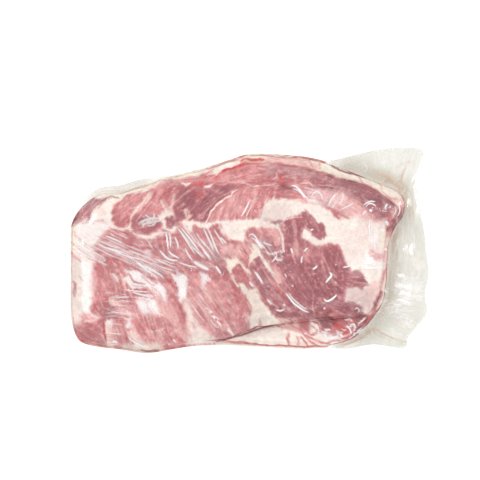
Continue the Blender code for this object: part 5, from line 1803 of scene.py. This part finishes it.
def build_lower_rack(pack, material):
    narrow = smoothstep(*FILLED_LIP, pack.lip_width)
    meat_rim = pack.rim + outward(pack.rim) * (EDGE_FILLED * narrow)[:, None]
    ledge = [pack.tucked()] + between(pack.step, meat_rim, crowded_shares(LEDGE_ROWS))
    under = between(pack.step, meat_rim, np.linspace(0, 1, UNDER_ROWS + 1))[1:-1]
    plan = np.vstack([pack.grid] + under + ledge)
    from_rim = pack.from_rim(plan)
    from_step = pack.from_step(plan)
    top_from = len(pack.grid) + len(pack.rim) * len(under)
    top = np.arange(len(plan)) >= top_from
    in_film = np.maximum(from_rim - FILM_GAP, 0.0)
    heights = np.where(
        top,
        pack_top(plan, in_film, np.minimum(from_step, 0.0)) - FILM_GAP,
        pack_base(plan, in_film) + UNDER_GAP,
    )
    heights = np.where(from_rim < 0, RIM_HEIGHT + np.where(top, RIM_SPLIT, -RIM_SPLIT), heights)
    heights[-len(pack.rim):] = RIM_HEIGHT
    heights[top_from:top_from + len(pack.rim)] -= TUCK_DEPTH

    colour, lean, relief, direction = flesh(photo_places(plan, heights))
    colour = np.where(top[:, None], colour, bone_side(plan, heights, from_rim))
    # Painted shade in the crease where the upper rack meets the lower rack's ledge.
    paint_step_shade(colour, plan, np.where(top, -from_step, 1.0))

    ledge_loops = pack.loops(top_from, len(ledge))
    under_loops = [pack.border(), *pack.loops(len(pack.grid), len(under)), ledge_loops[-1]]
    under_faces = np.vstack([pack.grid_faces(), ring_faces(under_loops)])[:, ::-1]
    faces = np.vstack([under_faces, ring_faces(ledge_loops)])
    attributes = {"flesh": with_amount(colour, lean), **turn_shares(direction)}
    surface("lower_rack", plan, heights, faces, attributes, material)


def build_film_over_racks(pack, material, meat_top):
    plan = pack.grid
    heights = pack_top(plan, pack.from_rim(plan), np.maximum(pack.from_step(plan), 0.0))
    full, none = np.ones(len(plan)), np.zeros(len(plan))
    attributes, lift = film_state(photo_places(plan, heights), full, none, none)
    heights = smooth_max(heights + lift, meat_top + FILM_CLEARANCE, FILM_BLEND)
    surface("film_over_racks", plan, heights, pack.grid_faces(), attributes, material)


def lay_skirt(pack, heights, skirt, lift):
    """Sets the last points, the skirt's, to its height and a lift; returns all points' reach from the rim."""
    reach = np.zeros(len(heights))
    rings = np.vstack(skirt)
    rims = np.tile(pack.rim, (len(skirt), 1))
    heights[-len(rings):] = skirt_height(rims, rings) + lift
    reach[-len(rings):] = np.linalg.norm(rings - rims, axis=1)
    return reach


def build_film_rim_and_tail(pack, material):
    ledge = between(pack.step, pack.rim, crowded_shares(FILM_LEDGE_ROWS))
    skirt = pack.skirt(SKIRT_ROWS)
    plan = np.vstack(ledge + skirt)
    ring_count, row_count = len(pack.rim), len(ledge) + len(skirt)
    over = (np.arange(len(plan)) < ring_count * (len(ledge) - 1)).astype(float)
    from_rim = np.maximum(pack.from_rim(plan), 0.0)
    heights = pack_top(plan, from_rim, np.minimum(pack.from_step(plan), 0.0))
    reach = lay_skirt(pack, heights, skirt, FILM_LAYERS_APART / 2)
    width = np.tile(pack.lip_width, row_count)
    attributes, lift = film_state(photo_places(plan, heights), over, reach, width)
    heights += lift * np.repeat(smoothstep(0, SETTLED_ROWS, np.arange(row_count)), ring_count)
    heights[-ring_count:] = skirt_height(pack.rim, pack.edge)
    faces = ring_faces(pack.loops(0, row_count))
    surface("film_rim_and_tail", plan, heights, faces, attributes, material)


def build_film_under(pack, material):
    under = between(pack.step, pack.rim, np.linspace(0, 1, UNDER_ROWS + 1))[1:]
    skirt = pack.skirt(UNDER_SKIRT_ROWS)
    plan = np.vstack([pack.grid] + under + skirt)
    ring_count, row_count = len(pack.rim), len(under) + len(skirt)
    skirt_from = len(plan) - ring_count * len(skirt)
    heights = pack_base(plan, np.maximum(pack.from_rim(plan), 0.0))
    reach = lay_skirt(pack, heights, skirt, -FILM_LAYERS_APART / 2)
    width = np.concatenate([np.zeros(len(pack.grid)), np.tile(pack.lip_width, row_count)])
    number = np.arange(len(plan))
    clear = (number < skirt_from - ring_count).astype(float)
    attributes, lift = film_state(photo_places(plan, heights) + UNDER_SHIFT, clear, reach, width)
    heights += np.maximum(lift, 0.0) * UNDER_LIFT * (number >= skirt_from)
    heights[-ring_count:] = skirt_height(pack.rim, pack.edge)
    loops = [pack.border(), *pack.loops(len(pack.grid), row_count)]
    faces = np.vstack([pack.grid_faces(), ring_faces(loops)])[:, ::-1]
    attributes["film"][:, 3] *= np.where(number < skirt_from, UNDER_HAZE, 1.0)
    surface("film_under", plan, heights, faces, attributes, material)


# Materials.


def new_material(name):
    material = bpy.data.materials.new(name)
    material.use_nodes = True
    material.node_tree.nodes.clear()
    return material, material.node_tree


def add_node(tree, kind, inputs, **settings):
    """A shader node; each input is either a plain value or another node's output."""
    node = tree.nodes.new(kind)
    for key, value in settings.items():
        setattr(node, key, value)
    for key, value in inputs.items():
        if isinstance(value, bpy.types.NodeSocket):
            tree.links.new(value, node.inputs[key])
        else:
            node.inputs[key].default_value = value
    return node


def attribute(tree, name):
    return add_node(tree, "ShaderNodeAttribute", {}, attribute_name=name).outputs


def noise(tree, coordinates, scale, detail, roughness=0.55):
    inputs = {"Scale": scale, "Detail": detail, "Roughness": roughness, "Vector": coordinates}
    return add_node(tree, "ShaderNodeTexNoise", inputs).outputs["Fac"]


def remapped(tree, value, low, high, to_low, to_high):
    inputs = {"Value": value, "From Min": low, "From Max": high, "To Min": to_low, "To Max": to_high}
    return add_node(tree, "ShaderNodeMapRange", inputs).outputs["Result"]


def math_node(tree, operation, first, second):
    return add_node(tree, "ShaderNodeMath", {0: first, 1: second}, operation=operation).outputs["Value"]


def times(tree, first, second):
    return math_node(tree, "MULTIPLY", first, second)


def plus(tree, first, second):
    return math_node(tree, "ADD", first, second)


def bumpy_normal(tree, height, strength, distance):
    inputs = {"Strength": strength, "Distance": distance, "Height": height}
    return add_node(tree, "ShaderNodeBump", inputs).outputs["Normal"]


def mixed_shaders(tree, amount, first, second):
    return add_node(tree, "ShaderNodeMixShader", {"Fac": amount, 1: first, 2: second}).outputs["Shader"]


def along_grain(tree, place, across_scale, along_scale, detail):
    """Noise drawn out along the mesh's own directions: a texture for each fixed direction, by share."""
    total = None
    for number, key in enumerate(("grain_a", "grain_b")):
        shares = attribute(tree, key)
        split = add_node(tree, "ShaderNodeSeparateColor", {"Color": shares["Color"]})
        for turn, share in enumerate([*split.outputs[:3], shares["Alpha"]]):
            turned = add_node(tree, "ShaderNodeMapping", {
                "Vector": place,
                "Rotation": (0, 0, math.pi * (number * 4 + turn) / TURNS),
                "Scale": (1 / along_scale, 1 / across_scale, 1 / along_scale),
            }, vector_type="TEXTURE")
            part = times(tree, noise(tree, turned.outputs["Vector"], 1.0, detail), share)
            total = part if total is None else plus(tree, total, part)
    return total


def finish_material(tree, shader):
    add_node(tree, "ShaderNodeOutputMaterial", {"Surface": shader})


def raw_pork_material():
    """Wet raw pork: its colours come with the mesh, and grain, marbling and gloss from here."""
    material, tree = new_material("raw_pork")
    place = add_node(tree, "ShaderNodeTexCoord", {}).outputs["Object"]
    painted = attribute(tree, "flesh")
    lean = painted["Alpha"]
    fine = noise(tree, place, *FINE_GRAIN)
    clotted = noise(tree, place, *CLOTTED_GRAIN)
    fibre = along_grain(tree, place, *FIBRE_GRAIN)
    fibre_swing = times(tree, math_node(tree, "SUBTRACT", fibre, 0.5), lean)
    fine_shade = remapped(tree, fine, *NOISE_RANGE, *GRAIN_SHADES)
    clotted_shade = remapped(tree, clotted, *NOISE_RANGE, *GRAIN_SHADES)
    shade = plus(tree, times(tree, fibre_swing, FIBRE_CONTRAST), times(tree, fine_shade, clotted_shade))
    shaded = add_node(
        tree, "ShaderNodeVectorMath", {"Vector": painted["Color"], "Scale": shade}, operation="SCALE"
    )
    streak = remapped(tree, plus(tree, fibre, times(tree, clotted, 0.4)), *MARBLING_RANGE, 0.0, MOST_MARBLING)
    marbling = add_node(tree, "ShaderNodeMix", {}, data_type="RGBA")
    marbling.inputs["B"].default_value = (*linear(np.array(PALETTE["salmon"]) / 255), 1.0)
    tree.links.new(times(tree, streak, lean), marbling.inputs["Factor"])
    tree.links.new(shaded.outputs["Vector"], marbling.inputs["A"])

    height = plus(tree, times(tree, fibre_swing, 1.6), clotted)
    wet_flesh = add_node(tree, "ShaderNodeBsdfPrincipled", {
        "Base Color": marbling.outputs["Result"],
        "Roughness": remapped(tree, clotted, *NOISE_RANGE, *FLESH_ROUGHNESS),
        "Normal": bumpy_normal(tree, height, *FLESH_BUMPS),
        "Subsurface Weight": 0.12,
        "Subsurface Radius": (1.0, 0.45, 0.3),
        "Subsurface Scale": 1.5 * MM,
        "Specular IOR Level": 0.15,
    })
    finish_material(tree, wet_flesh.outputs["BSDF"])
    return material


def bag_film_material():
    """Clear glossy film, with painted highlights as white haze along its creases, and milky where it is
    loose.
    """
    material, tree = new_material("bag_film")
    place = add_node(tree, "ShaderNodeTexCoord", {}).outputs["Object"]
    state = attribute(tree, "film")
    wrinkled = attribute(tree, "wrinkled")["Fac"]
    crinkle = noise(tree, place, *CRINKLES)
    ripple = noise(tree, place, *RIPPLES)
    crease = along_grain(tree, place, *FINE_CREASES)
    creased = times(tree, crease, remapped(tree, wrinkled, 0.0, 1.0, *CREASE_BUMPS))
    uneven = plus(tree, times(tree, crinkle, 0.07), times(tree, ripple, 1.2))
    normal = bumpy_normal(tree, plus(tree, creased, uneven), *FILM_BUMPS)

    clear = add_node(tree, "ShaderNodeBsdfTransparent", {}).outputs["BSDF"]
    milky = add_node(tree, "ShaderNodeBsdfDiffuse", {"Color": state["Color"], "Normal": normal})
    through = add_node(tree, "ShaderNodeBsdfTranslucent", {"Color": state["Color"]})
    gloss = add_node(tree, "ShaderNodeBsdfAnisotropic", {"Roughness": FILM_ROUGHNESS, "Normal": normal})
    haze = mixed_shaders(tree, SHINE_THROUGH, milky.outputs["BSDF"], through.outputs["BSDF"])
    # Painted highlight: white haze along the fine creases where the film is wrinkled.
    crease_highlight = times(tree, remapped(tree, crease, *CREASE_HIGHLIGHT_RANGE, 0.0, MOST_CREASE_HIGHLIGHT), wrinkled)
    hazy = times(tree, state["Alpha"], remapped(tree, crinkle, *NOISE_RANGE, 0.98, 1.02))
    body = mixed_shaders(tree, math_node(tree, "MAXIMUM", crease_highlight, hazy), clear, haze)
    facing = add_node(tree, "ShaderNodeLayerWeight", {"Blend": 0.5, "Normal": normal}).outputs["Facing"]
    shine = remapped(tree, math_node(tree, "POWER", facing, 5.0), 0.0, 1.0, *FILM_REFLECTION)
    finish_material(tree, mixed_shaders(tree, shine, body, gloss.outputs["BSDF"]))
    return material


def floor_material():
    material, tree = new_material("floor")
    paper = add_node(tree, "ShaderNodeBsdfPrincipled", {
        "Base Color": FLOOR_TONE,
        "Roughness": 0.9,
        "Emission Color": WHITE,
        "Emission Strength": FLOOR_GLOW,
    })
    finish_material(tree, paper.outputs["BSDF"])
    return material


# Stage, lights and camera.


def build_floor():
    mesh = bpy.data.meshes.new("floor")
    corners = [(-1, -1), (1, -1), (1, 1), (-1, 1)]
    mesh.from_pydata([(FLOOR_HALF * x, FLOOR_HALF * y, 0) for x, y in corners], [], [(0, 1, 2, 3)])
    mesh.materials.append(floor_material())
    floor = bpy.data.objects.new("floor", mesh)
    bpy.context.scene.collection.objects.link(floor)


def add_softbox(name, place, size, power):
    light = bpy.data.lights.new(name, "AREA")
    light.shape = "RECTANGLE"
    light.size, light.size_y = size
    light.energy = power
    softbox = bpy.data.objects.new(name, light)
    softbox.location = place
    softbox.rotation_euler = (-Vector(place)).to_track_quat("-Z", "Y").to_euler()
    bpy.context.scene.collection.objects.link(softbox)


def light_stage():
    world = bpy.data.worlds.new("studio")
    world.use_nodes = True
    sky = world.node_tree.nodes["Background"]
    sky.inputs["Color"].default_value = WHITE
    sky.inputs["Strength"].default_value = SKY_STRENGTH
    bpy.context.scene.world = world
    for softbox in SOFTBOXES:
        add_softbox(*softbox)


def add_camera():
    camera = bpy.data.cameras.new("camera")
    camera.sensor_width = SENSOR_WIDTH
    camera.lens = SENSOR_WIDTH * (CAMERA_HEIGHT - PHOTO_PLANE) / (PHOTO_SIDE * PHOTO_PIXEL)
    camera.clip_end = FARTHEST_SEEN
    view = bpy.data.objects.new("camera", camera)
    view.location = (*((CAMERA_PLAN - PACK_MIDDLE) * PACK_SCALE), CAMERA_HEIGHT)
    bpy.context.scene.collection.objects.link(view)
    bpy.context.scene.camera = view


def fit_to_pack(edge):
    """What the pack's plan is moved and stretched by, to be centred and of the stated size."""
    low, high = edge.min(axis=0), edge.max(axis=0)
    return (low + high) / 2, np.array([PACK_LENGTH, PACK_WIDTH]) / (high - low)


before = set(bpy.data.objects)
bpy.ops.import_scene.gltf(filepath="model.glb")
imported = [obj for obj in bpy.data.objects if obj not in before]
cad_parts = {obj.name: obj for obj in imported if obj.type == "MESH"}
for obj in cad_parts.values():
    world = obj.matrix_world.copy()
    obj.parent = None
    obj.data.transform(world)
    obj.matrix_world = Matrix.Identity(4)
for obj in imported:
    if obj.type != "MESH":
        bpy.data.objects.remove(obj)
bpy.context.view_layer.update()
bpy.context.scene.view_settings.view_transform = "Standard"

top_plan = PackPlan(*TOP_CELLS)
base_plan = PackPlan(*BASE_CELLS)
PACK_MIDDLE, PACK_SCALE = fit_to_pack(base_plan.edge)
pork = raw_pork_material()
film = bag_film_material()
meat_top = build_upper_rack(top_plan, pork)
build_lower_rack(base_plan, pork)
build_film_over_racks(top_plan, film, meat_top)
build_film_rim_and_tail(top_plan, film)
build_film_under(base_plan, film)
build_floor()
light_stage()
add_camera()
